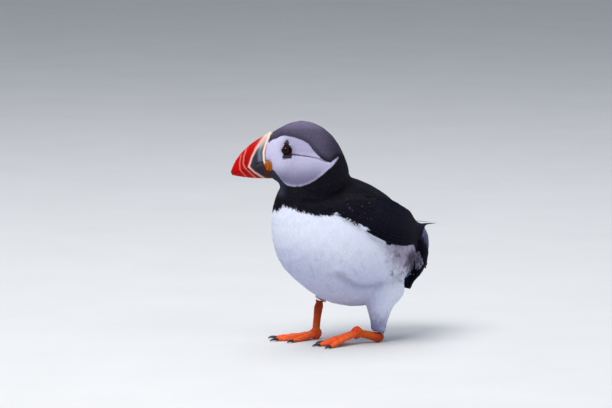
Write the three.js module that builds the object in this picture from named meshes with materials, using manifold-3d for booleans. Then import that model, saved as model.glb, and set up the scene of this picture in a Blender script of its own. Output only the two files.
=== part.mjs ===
// Atlantic puffin, life size, standing with its head turned 32 degrees to its own right.
// Millimetres, +Z up. The bird faces -Y and its left side is +X.
// The origin is on the sole of the right foot, below the ball of that foot.
import * as THREE from 'three';
import { mergeVertices } from 'three/addons/utils/BufferGeometryUtils.js';
import Module from 'manifold-3d';

const wasm = await Module();
wasm.setup();

// ---- driving dimensions -------------------------------------------------------------------
const gap = 0.35; // clearance between neighbouring pieces
const headTurn = -32; // degrees about +Z, towards the bird's right
const rightSole = [-20, -17]; // the ball of the right foot, which becomes the origin
const far = 400; // reach of the cutting shapes
const right = 'right';
const left = 'left';

const trunkForm = {
  length: 152,
  up: [44, 47, 53.5, 63, 92],
  down: [53, 59, 56, 55, 50],
  side: [37, 44, 47.5, 46, 42],
};
const trunkPlace = { at: [0, -4.8, 91.7], pitch: -40, turn: 0 };

const neckForm = {
  length: 108,
  up: [28, 31, 32, 34],
  down: [30, 32, 33, 36],
  side: [27, 30, 34, 42],
};
const neckPlace = { at: [-1, -30, 137], pitch: -76, turn: -12 };

const headForm = {
  length: 84,
  up: [23.5, 34.8, 35.2, 31.3, 22],
  down: [30, 27.3, 25.6, 27, 28],
  side: [13.5, 20, 24.5, 24.5, 19],
  jowl: 0.07, // how much wider the cheeks are than the crown
};
const headCentre = [-5.6, -40, 158];
const headPlace = { at: headCentre, pitch: -21, turn: headTurn };

// ---- helpers: closed geometries -----------------------------------------------------------
const vec = (x, y, z) => new THREE.Vector3(x, y, z);
const rad = THREE.MathUtils.degToRad;
const lerp = THREE.MathUtils.lerp;

// A smooth curve through evenly spaced values, read at s from 0 to 1.
function through(values) {
  const curve = new THREE.SplineCurve(values.map((v, i) => new THREE.Vector2(i, v)));
  return (s) => curve.getPoint(s).y;
}

// A BufferGeometry from points and triangles.
function surface(points, triangles) {
  const geometry = new THREE.BufferGeometry().setFromPoints(points);
  return geometry.setIndex(triangles);
}

// A body along its own Y axis, round at both ends. Its half sizes above, below and beside the
// axis are given at even steps from front to back, as a full section in the middle has them.
function egg({ length, up, down, side, jowl = 0 }, sides, rings, grow = 0) {
  const geometry = new THREE.SphereGeometry(1, sides, rings);
  const place = geometry.getAttribute('position');
  const [high, low, half] = [up, down, side].map(through);
  for (let i = 0; i < place.count; i += 1) {
    const [x, y, z] = [place.getX(i), place.getY(i), place.getZ(i)];
    const s = (y + 1) / 2;
    const widen = (half(s) + grow) * (1 - jowl * z);
    place.setXYZ(i, x * widen, y * (length / 2 + grow), z * ((z > 0 ? high(s) : low(s)) + grow));
  }
  return geometry;
}

// A closed tube of rings. Each ring is a list of points, and both ends are fans.
function ringed(rings) {
  const count = rings[0].length;
  const middle = (ring) => ring.reduce((sum, p) => sum.add(p), vec(0, 0, 0)).divideScalar(count);
  const points = [...rings.flat(), middle(rings[0]), middle(rings.at(-1))];
  const last = (rings.length - 1) * count;
  const triangles = [];
  for (let j = 0; j < count; j += 1) {
    const k = (j + 1) % count;
    for (let i = 0; i < last; i += count) {
      triangles.push(i + j, i + k, i + count + k, i + j, i + count + k, i + count + j);
    }
    triangles.push(points.length - 2, k, j, points.length - 1, last + j, last + k);
  }
  return surface(points, triangles);
}

// A round limb along a curve, whose radius is given at even steps. Flatten narrows it sideways.
function limb(curve, radii, sides, steps, { flatten = 1, grow = 0 } = {}) {
  const radius = through(radii);
  const rings = [];
  for (let i = 0; i <= steps; i += 1) {
    const s = i / steps;
    const tangent = curve.getTangent(s);
    const across = vec(0, 0, 1).cross(tangent);
    across.set(...(across.length() < 0.3 ? [1, 0, 0] : across.toArray())).normalize();
    const upward = tangent.clone().cross(across).normalize();
    const centre = curve.getPoint(s).addScaledVector(tangent, lerp(-grow, grow, s));
    rings.push([...Array(sides).keys()].map((j) => {
      const angle = (2 * Math.PI * j) / sides;
      const r = radius(s) + grow;
      return centre.clone()
        .addScaledVector(across, r * flatten * Math.cos(angle))
        .addScaledVector(upward, r * Math.sin(angle));
    }));
  }
  return ringed(rings);
}

// A curved plate. Spot gives the point, normal and half thickness at u and v from 0 to 1.
function blade(spot, nu, nv) {
  const top = [];
  const bottom = [];
  for (let i = 0; i <= nu; i += 1) {
    for (let j = 0; j <= nv; j += 1) {
      const { point, normal, half } = spot(i / nu, j / nv);
      top.push(point.clone().addScaledVector(normal, half));
      bottom.push(point.clone().addScaledVector(normal, -half));
    }
  }
  const under = top.length;
  const triangles = [];
  const quad = (a, b, c, d) => triangles.push(a, b, c, a, c, d);
  const at = (i, j) => i * (nv + 1) + j;
  for (let i = 0; i < nu; i += 1) {
    for (let j = 0; j < nv; j += 1) {
      const [a, b, c, d] = [at(i, j), at(i + 1, j), at(i + 1, j + 1), at(i, j + 1)];
      quad(a, b, c, d);
      quad(under + d, under + c, under + b, under + a);
    }
    quad(at(i, 0), under + at(i, 0), under + at(i + 1, 0), at(i + 1, 0));
    quad(at(i + 1, nv), under + at(i + 1, nv), under + at(i, nv), at(i, nv));
  }
  for (let j = 0; j < nv; j += 1) {
    quad(at(0, j + 1), under + at(0, j + 1), under + at(0, j), at(0, j));
    quad(at(nu, j), under + at(nu, j), under + at(nu, j + 1), at(nu, j + 1));
  }
  return surface([...top, ...bottom], triangles);
}

// Everything on one side of a line drawn in the head's side view, forward and up.
function aheadOf(line, reach = far) {
  const points = new THREE.SplineCurve(line.map(([f, z]) => new THREE.Vector2(f, z))).getPoints(8);
  const shape = new THREE.Shape(points);
  shape.lineTo(reach, points.at(-1).y);
  shape.lineTo(reach, points[0].y);
  const geometry = new THREE.ExtrudeGeometry(shape, { depth: 80, bevelEnabled: false, steps: 1 });
  return geometry.translate(0, 0, -40).applyMatrix4(sideView);
}
// Forward and up in the drawing become -Y and +Z, and the drawing's depth becomes -X.
const sideView = new THREE.Matrix4().makeBasis(vec(0, -1, 0), vec(0, 0, 1), vec(-1, 0, 0));

// ---- helpers: solids ----------------------------------------------------------------------
// Turns a closed geometry into a solid that can be joined and cut.
function solid(geometry) {
  const bare = geometry.index ? geometry.toNonIndexed() : geometry.clone();
  bare.deleteAttribute('normal');
  bare.deleteAttribute('uv');
  const merged = mergeVertices(bare, 1e-4);
  const made = new wasm.Manifold(new wasm.Mesh({
    numProp: 3,
    vertProperties: merged.getAttribute('position').array,
    triVerts: new Uint32Array(merged.index.array),
  }));
  return made;
}

// Pitches a geometry about X, turns it about Z and moves it into place.
function placed(geometry, { at, pitch = 0, turn = 0 }) {
  return geometry.rotateX(rad(pitch)).rotateZ(rad(turn)).translate(...at);
}

const onHead = (geometry) => placed(geometry, { at: headCentre, turn: headTurn });
const mirrored = (geometry) => {
  const other = geometry.index ? geometry.toNonIndexed() : geometry.clone();
  const place = other.getAttribute('position');
  for (let i = 0; i < place.count; i += 3) {
    const corners = [0, 2, 1].map((k) => [place.getX(i + k), place.getY(i + k), place.getZ(i + k)]);
    corners.forEach(([x, y, z], k) => place.setXYZ(i + k, -x, y, z));
  }
  return other;
};

const puffin = new THREE.Group();
puffin.name = 'puffin';

const finishes = {
  blackPlumage: [0x15141a, 0.75],
  whitePlumage: [0xe4e5ee, 0.8],
  greyPlumage: [0x4b4756, 0.8],
  redHorn: [0xd81e0c, 0.4],
  slateHorn: [0x44505f, 0.45],
  creamHorn: [0xeed9a8, 0.5],
  orangeSkin: [0xe8501a, 0.5],
  yellowSkin: [0xe79a1c, 0.6],
  claw: [0x1b1717, 0.4],
  eye: [0x1b0a08, 0.1],
};

// Adds a solid to the bird as a named mesh with its own material.
function add(name, made, finish) {
  const { vertProperties, triVerts, numProp, numVert } = made.getMesh();
  const points = new Float32Array(numVert * 3);
  for (let i = 0; i < numVert; i += 1) {
    points.set(vertProperties.subarray(i * numProp, i * numProp + 3), i * 3);
  }
  const geometry = new THREE.BufferGeometry();
  geometry.setAttribute('position', new THREE.BufferAttribute(points, 3));
  geometry.setIndex(new THREE.BufferAttribute(triVerts, 1));
  geometry.computeVertexNormals();
  const [color, roughness] = finishes[finish];
  const mesh = new THREE.Mesh(
    geometry,
    new THREE.MeshStandardMaterial({ color, roughness, metalness: 0 }),
  );
  mesh.name = name;
  puffin.add(mesh);
}

// ---- wings and tail -----------------------------------------------------------------------
// A plate of feathers lying along a line, bent round the flank across it.
function plume({ line, halves, thick, wrap, outwardAt, steps }, grow = 0) {
  const half = through(halves);
  const depth = through(thick);
  const bend = through(wrap);
  return blade((u, v) => {
    const tangent = line.getTangent(u);
    const centre = line.getPoint(u).addScaledVector(tangent, lerp(-grow, grow, u));
    const chord = outwardAt(u, centre).cross(tangent).normalize();
    const normal = tangent.clone().cross(chord).normalize();
    const side = lerp(-1, 1, v);
    const across = side * (half(u) + grow);
    return {
      point: centre.addScaledVector(chord, across).addScaledVector(normal, -bend(u) * across ** 2),
      normal,
      half: depth(u) * (1 - 0.7 * Math.abs(side) ** 3) + grow,
    };
  }, ...steps);
}

const wingForm = {
  line: new THREE.CatmullRomCurve3([
    vec(32, -43, 122), vec(39.5, -25, 122), vec(44.5, -5, 117), vec(45.5, 16, 109),
    vec(40, 36, 102.5), vec(28, 57, 99), vec(12, 79, 97.5), vec(4, 95.5, 96.5),
  ]),
  halves: [2, 12.5, 17, 18.5, 16.5, 9.5, 4, 1.3],
  thick: [1.5, 2.4, 2.6, 2.6, 2.2, 1.6, 1, 0.5],
  wrap: [0.01, 0.011, 0.011, 0.011, 0.009, 0.003, 0, 0],
  // Away from the trunk's axis, and upward where the tips leave the body.
  outwardAt: (u, point) => point.clone().sub(vec(0, lerp(-16, 40, u), lerp(104, 78, u))).normalize()
    .lerp(vec(0.1, 0, 1), THREE.MathUtils.smoothstep(u, 0.66, 0.85)),
  steps: [16, 5],
};

const tailForm = {
  line: new THREE.CatmullRomCurve3([
    vec(0.5, 75, 94), vec(1, 77, 78), vec(2, 75.5, 63), vec(3, 66, 49.5), vec(4, 56, 37),
  ]),
  halves: [10, 14, 15.5, 14, 7],
  thick: [7, 8.5, 7, 4, 0.8],
  wrap: [0.016, 0.014, 0.012, 0.01, 0.008],
  outwardAt: () => vec(0, 1, -0.2),
  steps: [8, 6],
};
const wing = (grow) => plume(wingForm, grow);
const tail = (grow) => plume(tailForm, grow);

// ---- legs and feet ------------------------------------------------------------------------
const legs = {
  right: {
    hip: vec(-18, 8, 70), heel: vec(-20.5, -12.5, 34), ball: vec(-20, -17, 5.2),
    cuff: vec(-20.5, -12.5, 34), thigh: [6, 19, 12, 5], aim: -14, inward: 1, arch: 0,
  },
  left: {
    hip: vec(18, 22, 72), heel: vec(27, 17, 4.2), ball: vec(24, -4.5, 10),
    cuff: vec(26.5, 16, 10), thigh: [6, 20, 16, 10, 6], aim: -10, inward: -1, arch: 1,
  },
};
const tarsusRadii = [4.6, 3.9, 3.4, 3.3, 3.5];
const toes = { // name: [length, angle from the middle toe, radius at the root]
  inner: [29, 25, 2.5],
  middle: [36, 0, 2.7],
  outer: [35, -23, 2.5],
};
const toeTip = 1.7;
const clawLength = 6.5;
const webHalf = 0.7;

const heading = (degrees) => vec(Math.sin(rad(degrees)), -Math.cos(rad(degrees)), 0);

// The line of one toe, from the ball of the foot to the root of its claw.
function toeLine(leg, [length, angle]) {
  const way = heading(leg.aim + angle * leg.inward);
  const start = leg.ball.clone();
  const end = start.clone().addScaledVector(way, length).setZ(toeTip - 0.4);
  const bend = start.clone().addScaledVector(way, length * 0.45).setZ(lerp(2.3, 6.4, leg.arch));
  return new THREE.QuadraticBezierCurve3(start, bend, end);
}

function claw(leg, toe, grow = 0) {
  const line = toeLine(leg, toe);
  const start = line.getPoint(1);
  const way = line.getTangent(1).setZ(0).normalize();
  const crest = start.clone().addScaledVector(way, clawLength * 0.55).add(vec(0, 0, 1.5));
  const tip = start.clone().addScaledVector(way, clawLength).setZ(0.7);
  const curve = new THREE.QuadraticBezierCurve3(start.addScaledVector(way, -1), crest, tip);
  return limb(curve, [1.35, 1.2, 0.9, 0.4], 6, 4, { grow });
}

// The skin between two toes, with a hollow front edge. It runs from the toe at the bird's right.
function web(leg, toeLines) {
  const [one, other] = leg.inward > 0 ? [...toeLines].reverse() : toeLines;
  return blade((u, v) => {
    const reach = u * (0.97 - 0.16 * Math.sin(Math.PI * v));
    const point = one.getPoint(reach).lerp(other.getPoint(reach), v);
    return { point: point.setZ(Math.max(point.z - 0.6, webHalf)), normal: vec(0, 0, 1), half: webHalf };
  }, 4, 2);
}

function foot(leg) {
  const lines = Object.values(toes).map((toe) => toeLine(leg, toe));
  const radii = ([, , root]) => [root + 0.8, root, root - 0.2, root * 0.9, toeTip];
  const parts = Object.values(toes).map((toe, i) => limb(lines[i], radii(toe), 6, 3));
  const ball = new THREE.SphereGeometry(1, 8, 5).scale(4.4, 5.6, 5.7);
  parts.push(ball.translate(...leg.ball.toArray()), web(leg, lines.slice(0, 2)), web(leg, lines.slice(1)));
  return parts.map(solid).reduce((all, part) => all.add(part));
}

function tarsus(leg, grow = 0) {
  const middle = leg.heel.clone().lerp(leg.ball, 0.5).add(vec(0, -0.8, 0.4));
  const line = new THREE.QuadraticBezierCurve3(leg.heel, middle, leg.ball);
  return limb(line, tarsusRadii, 9, 4, { flatten: 0.82, grow });
}

function thigh(leg, grow = 0) {
  const middle = leg.hip.clone().lerp(leg.cuff, 0.55).add(vec(0, leg.arch * 3, 0));
  const line = new THREE.QuadraticBezierCurve3(leg.hip, middle, leg.cuff);
  return limb(line, leg.thigh, 14, 7, { grow });
}

// ---- head fittings ------------------------------------------------------------------------
// Lines in the head's side view: distance ahead of the head's centre, and height above it.
const culmen = new THREE.QuadraticBezierCurve(
  new THREE.Vector2(27, 26.5), new THREE.Vector2(57, 13), new THREE.Vector2(62.8, -8.8));
const gape = new THREE.QuadraticBezierCurve(
  new THREE.Vector2(27, 1), new THREE.Vector2(46, -4.6), new THREE.Vector2(62.3, -9.2));
const gonys = new THREE.QuadraticBezierCurve(
  new THREE.Vector2(25, -14), new THREE.Vector2(46, -14.7), new THREE.Vector2(61.6, -11));
const faceLine = [[28.6, 25.5], [31.8, 17], [34, 9], [33.6, 2], [31.2, -4.5], [28.4, -16.5]];
const bandLine = faceLine.map(([f, z]) => [f + 3.1 - 0.03 * z, z]);
const ridgeLine = [[30.5, 26], [36, 19.5], [42.2, 13], [45.6, 6], [48.6, -4], [44.4, -9], [35, -16]];
const billHalf = through([9.6, 8.4, 7, 5.8, 4.2, 1.4]); // half widths from face to tip

// One mandible between two lines of the side view. It is widest along the gape.
function mandible(ridge, edge, inset, turned) {
  const steps = 12;
  const across = 4;
  const rings = [];
  for (let i = 0; i <= steps; i += 1) {
    const s = i / steps;
    const top = ridge.getPoint(s);
    const low = edge.getPoint(s);
    low.y += turned * inset;
    const half = billHalf(s);
    const side = [...Array(across + 1).keys()].map((j) => {
      const h = j / across;
      return vec(half * h ** 0.55, -lerp(top.x, low.x, h), lerp(top.y, low.y, h));
    });
    const other = side.slice(1).reverse().map((p) => vec(-p.x, p.y, p.z));
    rings.push([...side, ...other]);
  }
  const geometry = ringed(turned < 0 ? rings : rings.map((ring) => ring.reverse()));
  return solid(onHead(geometry));
}

// Half width of the head at a point of its side view.
function headHalf(f, z) {
  const level = vec(0, -f, z).applyAxisAngle(vec(1, 0, 0), rad(-headPlace.pitch));
  const s = level.y / headForm.length + 0.5;
  const round = Math.sqrt(1 - (2 * s - 1) ** 2);
  const rise = level.z / (round * through(level.z > 0 ? headForm.up : headForm.down)(s));
  return round * through(headForm.side)(s) * Math.sqrt(1 - rise ** 2) * (1 - headForm.jowl * rise * round);
}

const eyeAt = [15.5, 12.4]; // in the head's side view
const eyeRadius = 4.9;
const eyeSunk = 3.3; // how far its centre lies below the cheek
const eyeFacing = 14; // degrees that the eye looks forward of straight sideways

// Puts a piece that was drawn facing +Z, with +Y up, on the left side of the head.
function onCheek(geometry, [f, z], sunk) {
  geometry.rotateX(Math.PI / 2).rotateZ(Math.PI / 2 - rad(eyeFacing));
  return geometry.translate(headHalf(f, z) - sunk, -f, z);
}

const eyeParts = {
  eye: (grow) => onCheek(
    new THREE.SphereGeometry(eyeRadius + grow, 12, 8), eyeAt, eyeSunk),
  eye_ring: (grow) => onCheek(
    new THREE.TorusGeometry(3.8, 0.7 + grow, 5, 12), eyeAt, 0.1),
};

// A small plate of horn with a rounded outline.
function hornPlate(points, [f, z], grow) {
  const shape = new THREE.Shape(points.map(([x, y]) => new THREE.Vector2(x, y)));
  const options = { depth: 1.6, bevelSize: 0.35 + grow, bevelThickness: 0.35 + grow, bevelSegments: 1 };
  const geometry = new THREE.ExtrudeGeometry(shape, options).translate(0, 0, -0.8);
  return onCheek(geometry, [f, z], 0.9);
}
const platesAt = {
  eye_plate_upper: [[[-2.4, 0], [2.4, 0], [0.3, 3.4]], [eyeAt[0] - 0.2, eyeAt[1] + 5.1]],
  eye_plate_lower: [[[-3.8, -0.8], [4, -0.8], [3.4, 0.8], [-3.4, 0.8]], [eyeAt[0] - 0.3, eyeAt[1] - 5.9]],
};

const rosetteAt = [31, -1.4];
const rosette = (grow) => new THREE.SphereGeometry(1, 10, 7)
  .scale(2.6 + grow, 3 + grow, 4.4 + grow).rotateX(rad(24))
  .translate(headHalf(...rosetteAt) - 0.4, -rosetteAt[0], rosetteAt[1]);

// ---- assembly -----------------------------------------------------------------------------
const bothSides = (make) => [
  [left, (grow) => make(grow)],
  [right, (grow) => mirrored(make(grow))],
];

const trunkEgg = (grow) => solid(placed(egg(trunkForm, 26, 17, grow), trunkPlace));
const neckEgg = solid(placed(egg(neckForm, 20, 8), neckPlace));
const headEgg = solid(placed(egg(headForm, 24, 13), headPlace));
const whole = trunkEgg(0).add(neckEgg).add(headEgg);

// Two planes part the head, neck and trunk: a normal and the point that each passes through.
const napeCut = [vec(0.08, -0.2, 1).normalize(), vec(0, -32, 146)];
const collarCut = [vec(0, -0.34, 1).normalize(), vec(0, -34, 127)];
const cut = (made, [normal, point], sign) => made.trimByPlane(
  normal.clone().multiplyScalar(sign).toArray(),
  normal.dot(point) * sign + gap / 2);

// Everything sunk into the flesh, grown by the gap, is carved out of it.
let head = cut(whole, napeCut, 1);
let neck = cut(cut(whole, napeCut, -1), collarCut, 1);
let trunk = cut(whole, collarCut, -1);

function addHeadFittings() {
  const face = solid(onHead(aheadOf(faceLine)));
  const faceGap = solid(onHead(aheadOf(faceLine.map(([f, z]) => [f + gap, z]))));
  const band = solid(onHead(aheadOf(bandLine)));
  const bandGap = solid(onHead(aheadOf(bandLine.map(([f, z]) => [f + gap, z]))));
  const ridge = solid(onHead(aheadOf(ridgeLine)));
  const ridgeGap = solid(onHead(aheadOf(ridgeLine.map(([f, z]) => [f + gap, z]))));
  const upper = mandible(culmen, gape, gap / 2, 1).intersect(faceGap);
  const lower = mandible(gonys, gape, gap / 2, -1).intersect(faceGap);
  const rosettes = bothSides(rosette).map(([side, make]) => [side, (g) => solid(onHead(make(g)))]);
  const clear = (made) => rosettes.reduce((rest, [, make]) => rest.subtract(make(gap)), made);
  add('bill_cere', clear(upper.subtract(band)), 'creamHorn');
  add('bill_upper_plate', clear(upper.intersect(bandGap).subtract(ridge)), 'slateHorn');
  add('bill_upper_tip', upper.intersect(ridgeGap), 'redHorn');
  add('bill_lower_plate', clear(lower.subtract(ridge)), 'slateHorn');
  add('bill_lower_tip', lower.intersect(ridgeGap), 'redHorn');
  head = clear(head.subtract(face));
  rosettes.forEach(([side, make]) => add(`gape_rosette_${side}`, make(0), 'yellowSkin'));

  bothSides(eyeParts.eye).forEach(([side, eye], i) => {
    const ring = bothSides(eyeParts.eye_ring)[i][1];
    const sunk = (make, grow) => solid(onHead(make(grow)));
    add(`eye_${side}`, sunk(eye, 0), 'eye');
    add(`eye_ring_${side}`, sunk(ring, 0).subtract(sunk(eye, gap)), 'redHorn');
    head = head.subtract(sunk(eye, gap)).subtract(sunk(ring, gap));
    for (const [name, [points, spot]] of Object.entries(platesAt)) {
      const plate = bothSides((grow) => hornPlate(points, spot, grow))[i][1];
      add(`${name}_${side}`, sunk(plate, 0).subtract(sunk(ring, gap)), 'slateHorn');
      head = head.subtract(sunk(plate, gap));
    }
  });
}

function addWingsAndTail() {
  bothSides(wing).forEach(([side, make]) => {
    add(`wing_${side}`, solid(make(0)), 'blackPlumage');
    trunk = trunk.subtract(solid(make(gap)));
    neck = neck.subtract(solid(make(gap)));
  });
  const wings = bothSides(wing).map(([, make]) => solid(make(gap)));
  add('tail', wings.reduce((rest, made) => rest.subtract(made), solid(tail(0))), 'blackPlumage');
  trunk = trunk.subtract(solid(tail(gap)));
}

function addLegs() {
  for (const [side, leg] of Object.entries(legs)) {
    const floor = solid(new THREE.BoxGeometry(far, far, far).translate(0, 0, -far / 2));
    const shank = solid(tarsus(leg)).subtract(floor);
    const claws = Object.entries(toes).map(([name, toe]) => [name, solid(claw(leg, toe))]);
    const clawGaps = Object.values(toes).map((toe) => solid(claw(leg, toe, gap)));
    const sole = clawGaps.reduce((rest, made) => rest.subtract(made), foot(leg).subtract(floor));
    add(`foot_${side}`, sole.subtract(solid(tarsus(leg, gap))), 'orangeSkin');
    claws.forEach(([name, made]) => add(`claw_${name}_${side}`, made.subtract(floor), 'claw'));
    const plumes = solid(thigh(leg)).subtract(trunkEgg(gap)).subtract(solid(tarsus(leg, gap)));
    add(`thigh_${side}`, plumes.subtract(floor), 'whitePlumage');
    add(`tarsus_${side}`, shank, 'orangeSkin');
  }
}

addHeadFittings();
addWingsAndTail();
addLegs();
add('head', head, 'greyPlumage');
add('neck', neck, 'blackPlumage');
add('trunk', trunk, 'whitePlumage');

puffin.position.set(-rightSole[0], -rightSole[1], 0);

export default puffin;
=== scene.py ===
import math

import bpy
import numpy as np
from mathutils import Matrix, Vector
from mathutils.bvhtree import BVHTree
from mathutils.kdtree import KDTree


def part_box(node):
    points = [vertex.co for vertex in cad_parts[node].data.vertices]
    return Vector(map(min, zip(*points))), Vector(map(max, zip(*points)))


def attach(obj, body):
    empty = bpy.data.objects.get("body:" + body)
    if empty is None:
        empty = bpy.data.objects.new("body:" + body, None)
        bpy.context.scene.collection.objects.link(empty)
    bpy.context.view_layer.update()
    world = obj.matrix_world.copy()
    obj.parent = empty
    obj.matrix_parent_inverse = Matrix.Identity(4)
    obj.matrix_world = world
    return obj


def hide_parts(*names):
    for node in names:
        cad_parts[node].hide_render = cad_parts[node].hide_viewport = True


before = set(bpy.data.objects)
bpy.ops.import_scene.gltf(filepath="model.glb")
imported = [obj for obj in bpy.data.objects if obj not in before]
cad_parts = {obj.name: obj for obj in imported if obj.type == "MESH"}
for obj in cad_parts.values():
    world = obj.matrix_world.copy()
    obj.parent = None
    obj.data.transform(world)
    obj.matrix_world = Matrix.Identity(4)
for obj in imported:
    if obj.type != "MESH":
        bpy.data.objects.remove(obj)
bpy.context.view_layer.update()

dice = np.random.default_rng(41)
bpy.context.scene.view_settings.view_transform = "Standard"

# Lengths in the settings are millimetres in the bird's own axes: it faces -Y, its left is +X,
# and x = 0 is the middle plane of the trunk. The frame's origin is under its right foot.
soleX, soleY = 20.0, 17.0
sides = {"left": 1, "right": -1}


def toRow(points):
    return (np.asarray(points, float) + (soleX, soleY, 0)) / 1000


def toBird(points):
    return np.asarray(points, float) * 1000 - (soleX, soleY, 0)


def tone(r, g, b):  # a display colour as linear light
    c = np.array((r, g, b)) / 255
    return np.where(c <= 0.04045, c / 12.92, ((c + 0.055) / 1.055) ** 2.4)


def ease(low, high, value):
    t = np.clip((value - low) / (high - low), 0, 1)
    return t * t * (3 - 2 * t)


def bell(distance, width):
    return np.exp(-(np.asarray(distance) / width) ** 2)


def unit(v):
    return v / np.maximum(np.linalg.norm(v, axis=-1, keepdims=True), 1e-9)


def mixIn(base, colour, amount):
    return base + (colour - base) * np.asarray(amount)[..., None]


def layered(base, *layers):  # colours laid over a base in turn, each with its share
    for colour, amount in layers:
        base = mixIn(base, colour, amount)
    return base


def plain(colour, count):
    return np.tile(colour, (count, 1))


def through(points, u):  # a smooth curve through evenly spaced points, read from 0 to 1
    p = np.asarray(points, float)
    p = p[:, None] if p.ndim == 1 else p
    p = np.vstack((2 * p[0] - p[1], p, 2 * p[-1] - p[-2]))
    x = np.clip(np.asarray(u, float), 0, 1) * (len(p) - 3)
    i = np.minimum(x.astype(int), len(p) - 4)
    t = (x - i)[..., None]
    a, b, c, d = (p[i + k] for k in range(4))
    out = b + 0.5 * t * (c - a + t * (2 * a - 5 * b + 4 * c - d + t * (3 * (b - c) + d - a)))
    return out[..., 0] if out.shape[-1] == 1 else out


def bent(points, t):  # a curve pulled towards its middle point
    a, b, c = (np.asarray(p, float) for p in points)
    t = np.asarray(t, float)[..., None]
    return a * (1 - t) ** 2 + b * 2 * t * (1 - t) + c * t * t


def wobble(points, size, seed=0.0):  # smooth variation between about -1 and 1
    p = np.asarray(points) / size + seed
    total = np.sin(p[..., 0] * 1.9 + np.sin(p[..., 1] * 1.3) * 1.7)
    total = total + np.sin(p[..., 1] * 2.3 + np.sin(p[..., 2] * 1.7) * 1.9)
    return (total + np.sin(p[..., 2] * 2.1 + np.sin(p[..., 0] * 1.1) * 1.5)) / 3


def lineDistance(line, *axes, closed=False):  # distance to a drawn line, negative inside a closed one
    line = np.asarray(line, float)
    spot = np.stack(np.broadcast_arrays(*axes), -1)
    ends = np.roll(line, -1, 0) if closed else line[1:]
    best = np.full(spot.shape[:-1], 1e9)
    inside = np.zeros(best.shape, bool)
    for start, end in zip(line, ends):
        way = end - start
        t = np.clip(((spot - start) @ way) / (way @ way), 0, 1)
        best = np.minimum(best, np.linalg.norm(spot - start - t[..., None] * way, axis=-1))
        if closed:
            f, z = spot[..., 0], spot[..., 1]
            slope = way[0] / (way[1] if way[1] else 1e-9)
            crosses = (start[1] > z) != (end[1] > z)
            inside ^= crosses & (f < start[0] + (z - start[1]) * slope)
    return np.where(inside, -best, best)


# ---- handling pieces ----

def pick(*pieces):
    bpy.ops.object.select_all(action="DESELECT")
    for piece in pieces:
        piece.select_set(True)
    bpy.context.view_layer.objects.active = pieces[0]


def editAll(piece, *steps):  # runs edit-mode operators on the whole of a piece
    pick(piece)
    bpy.ops.object.mode_set(mode="EDIT")
    bpy.ops.mesh.select_all(action="SELECT")
    for step, settings in steps:
        step(**settings)
    bpy.ops.object.mode_set(mode="OBJECT")


def apply(piece, kind, **settings):
    pick(piece)
    modifier = piece.modifiers.new(kind.title(), kind)
    for name, value in settings.items():
        setattr(modifier, name, value)
    bpy.ops.object.modifier_apply(modifier=modifier.name)


def primitive(name, kind, **settings):
    bpy.ops.object.select_all(action="DESELECT")
    getattr(bpy.ops.mesh, f"primitive_{kind}_add")(**settings)
    piece = bpy.context.object
    piece.name = name
    piece.data.shade_smooth()
    return piece


def copyNodes(name, nodes, swell=0.0, trim=None):  # CAD solids copied, merged, swollen and joined
    copies = []
    for node in nodes:
        piece = bpy.data.objects.new(name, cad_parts[node].data.copy())
        bpy.context.scene.collection.objects.link(piece)
        piece.data.materials.clear()
        editAll(piece, (bpy.ops.mesh.remove_doubles, {"threshold": 1e-5}))
        if trim and node in trim:
            spot, facing = trim[node]
            editAll(piece, (bpy.ops.mesh.bisect, {
                "plane_co": toRow(spot), "plane_no": facing, "use_fill": True, "clear_outer": True}))
        if swell:
            apply(piece, "DISPLACE", strength=swell / 1000, mid_level=0)
        copies.append(piece)
    pick(*copies)
    bpy.ops.object.join()
    copies[0].name = name
    return copies[0]


def faceOut(piece):
    editAll(piece, (bpy.ops.mesh.normals_make_consistent, {"inside": False}))


def readAll(items, field, size, kind=float):  # a mesh field as an array, one row for each item
    flat = np.empty(len(items) * size, kind)
    items.foreach_get(field, flat)
    return flat.reshape(-1, size)


def spots(piece):
    return readAll(piece.data.vertices, "co", 3)


def normals(piece):
    return readAll(piece.data.vertex_normals, "vector", 3)


def move(piece, points):
    piece.data.vertices.foreach_set("co", np.asarray(points, float).ravel())
    piece.data.update()


def raiseBy(piece, height):  # moves each point out of the surface, in millimetres
    move(piece, spots(piece) + normals(piece) * (np.asarray(height) / 1000)[:, None])


def paint(piece, colours):
    layer = piece.data.color_attributes.new("tint", "FLOAT_COLOR", "POINT")
    rgba = np.ones((len(colours), 4))
    rgba[:, :3] = colours
    layer.data.foreach_set("color", rgba.ravel())


def rounded(piece, voxel, evenings):
    apply(piece, "REMESH", mode="VOXEL", voxel_size=voxel / 1000)
    apply(piece, "SMOOTH", factor=0.5, iterations=evenings)
    piece.data.shade_smooth()


def unfold(piece, corners, **layers):  # lays UV maps given for each point
    for label, places in layers.items():
        layer = piece.data.uv_layers.new(name=label)
        layer.data.foreach_set("uv", places[corners].ravel())


def treeOf(points):
    tree = KDTree(len(points))
    for number, point in enumerate(points):
        tree.insert(point, number)
    tree.balance()
    return tree


def meshPiece(name, points, faces):  # flat faces keep the thin edges of feathers from shading dark
    mesh = bpy.data.meshes.new(name)
    mesh.from_pydata(np.asarray(points).tolist(), [], np.asarray(faces).tolist())
    piece = bpy.data.objects.new(name, mesh)
    bpy.context.scene.collection.objects.link(piece)
    return piece


def settle(piece, finish, slot, *nodes):  # gives a piece its finish and its body, and hides the CAD solids it takes the place of
    piece.data.materials.clear()
    piece.data.materials.append(finish.material)
    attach(piece, "root")
    if nodes:
        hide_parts(*nodes)


# ---- shader wiring ----

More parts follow.
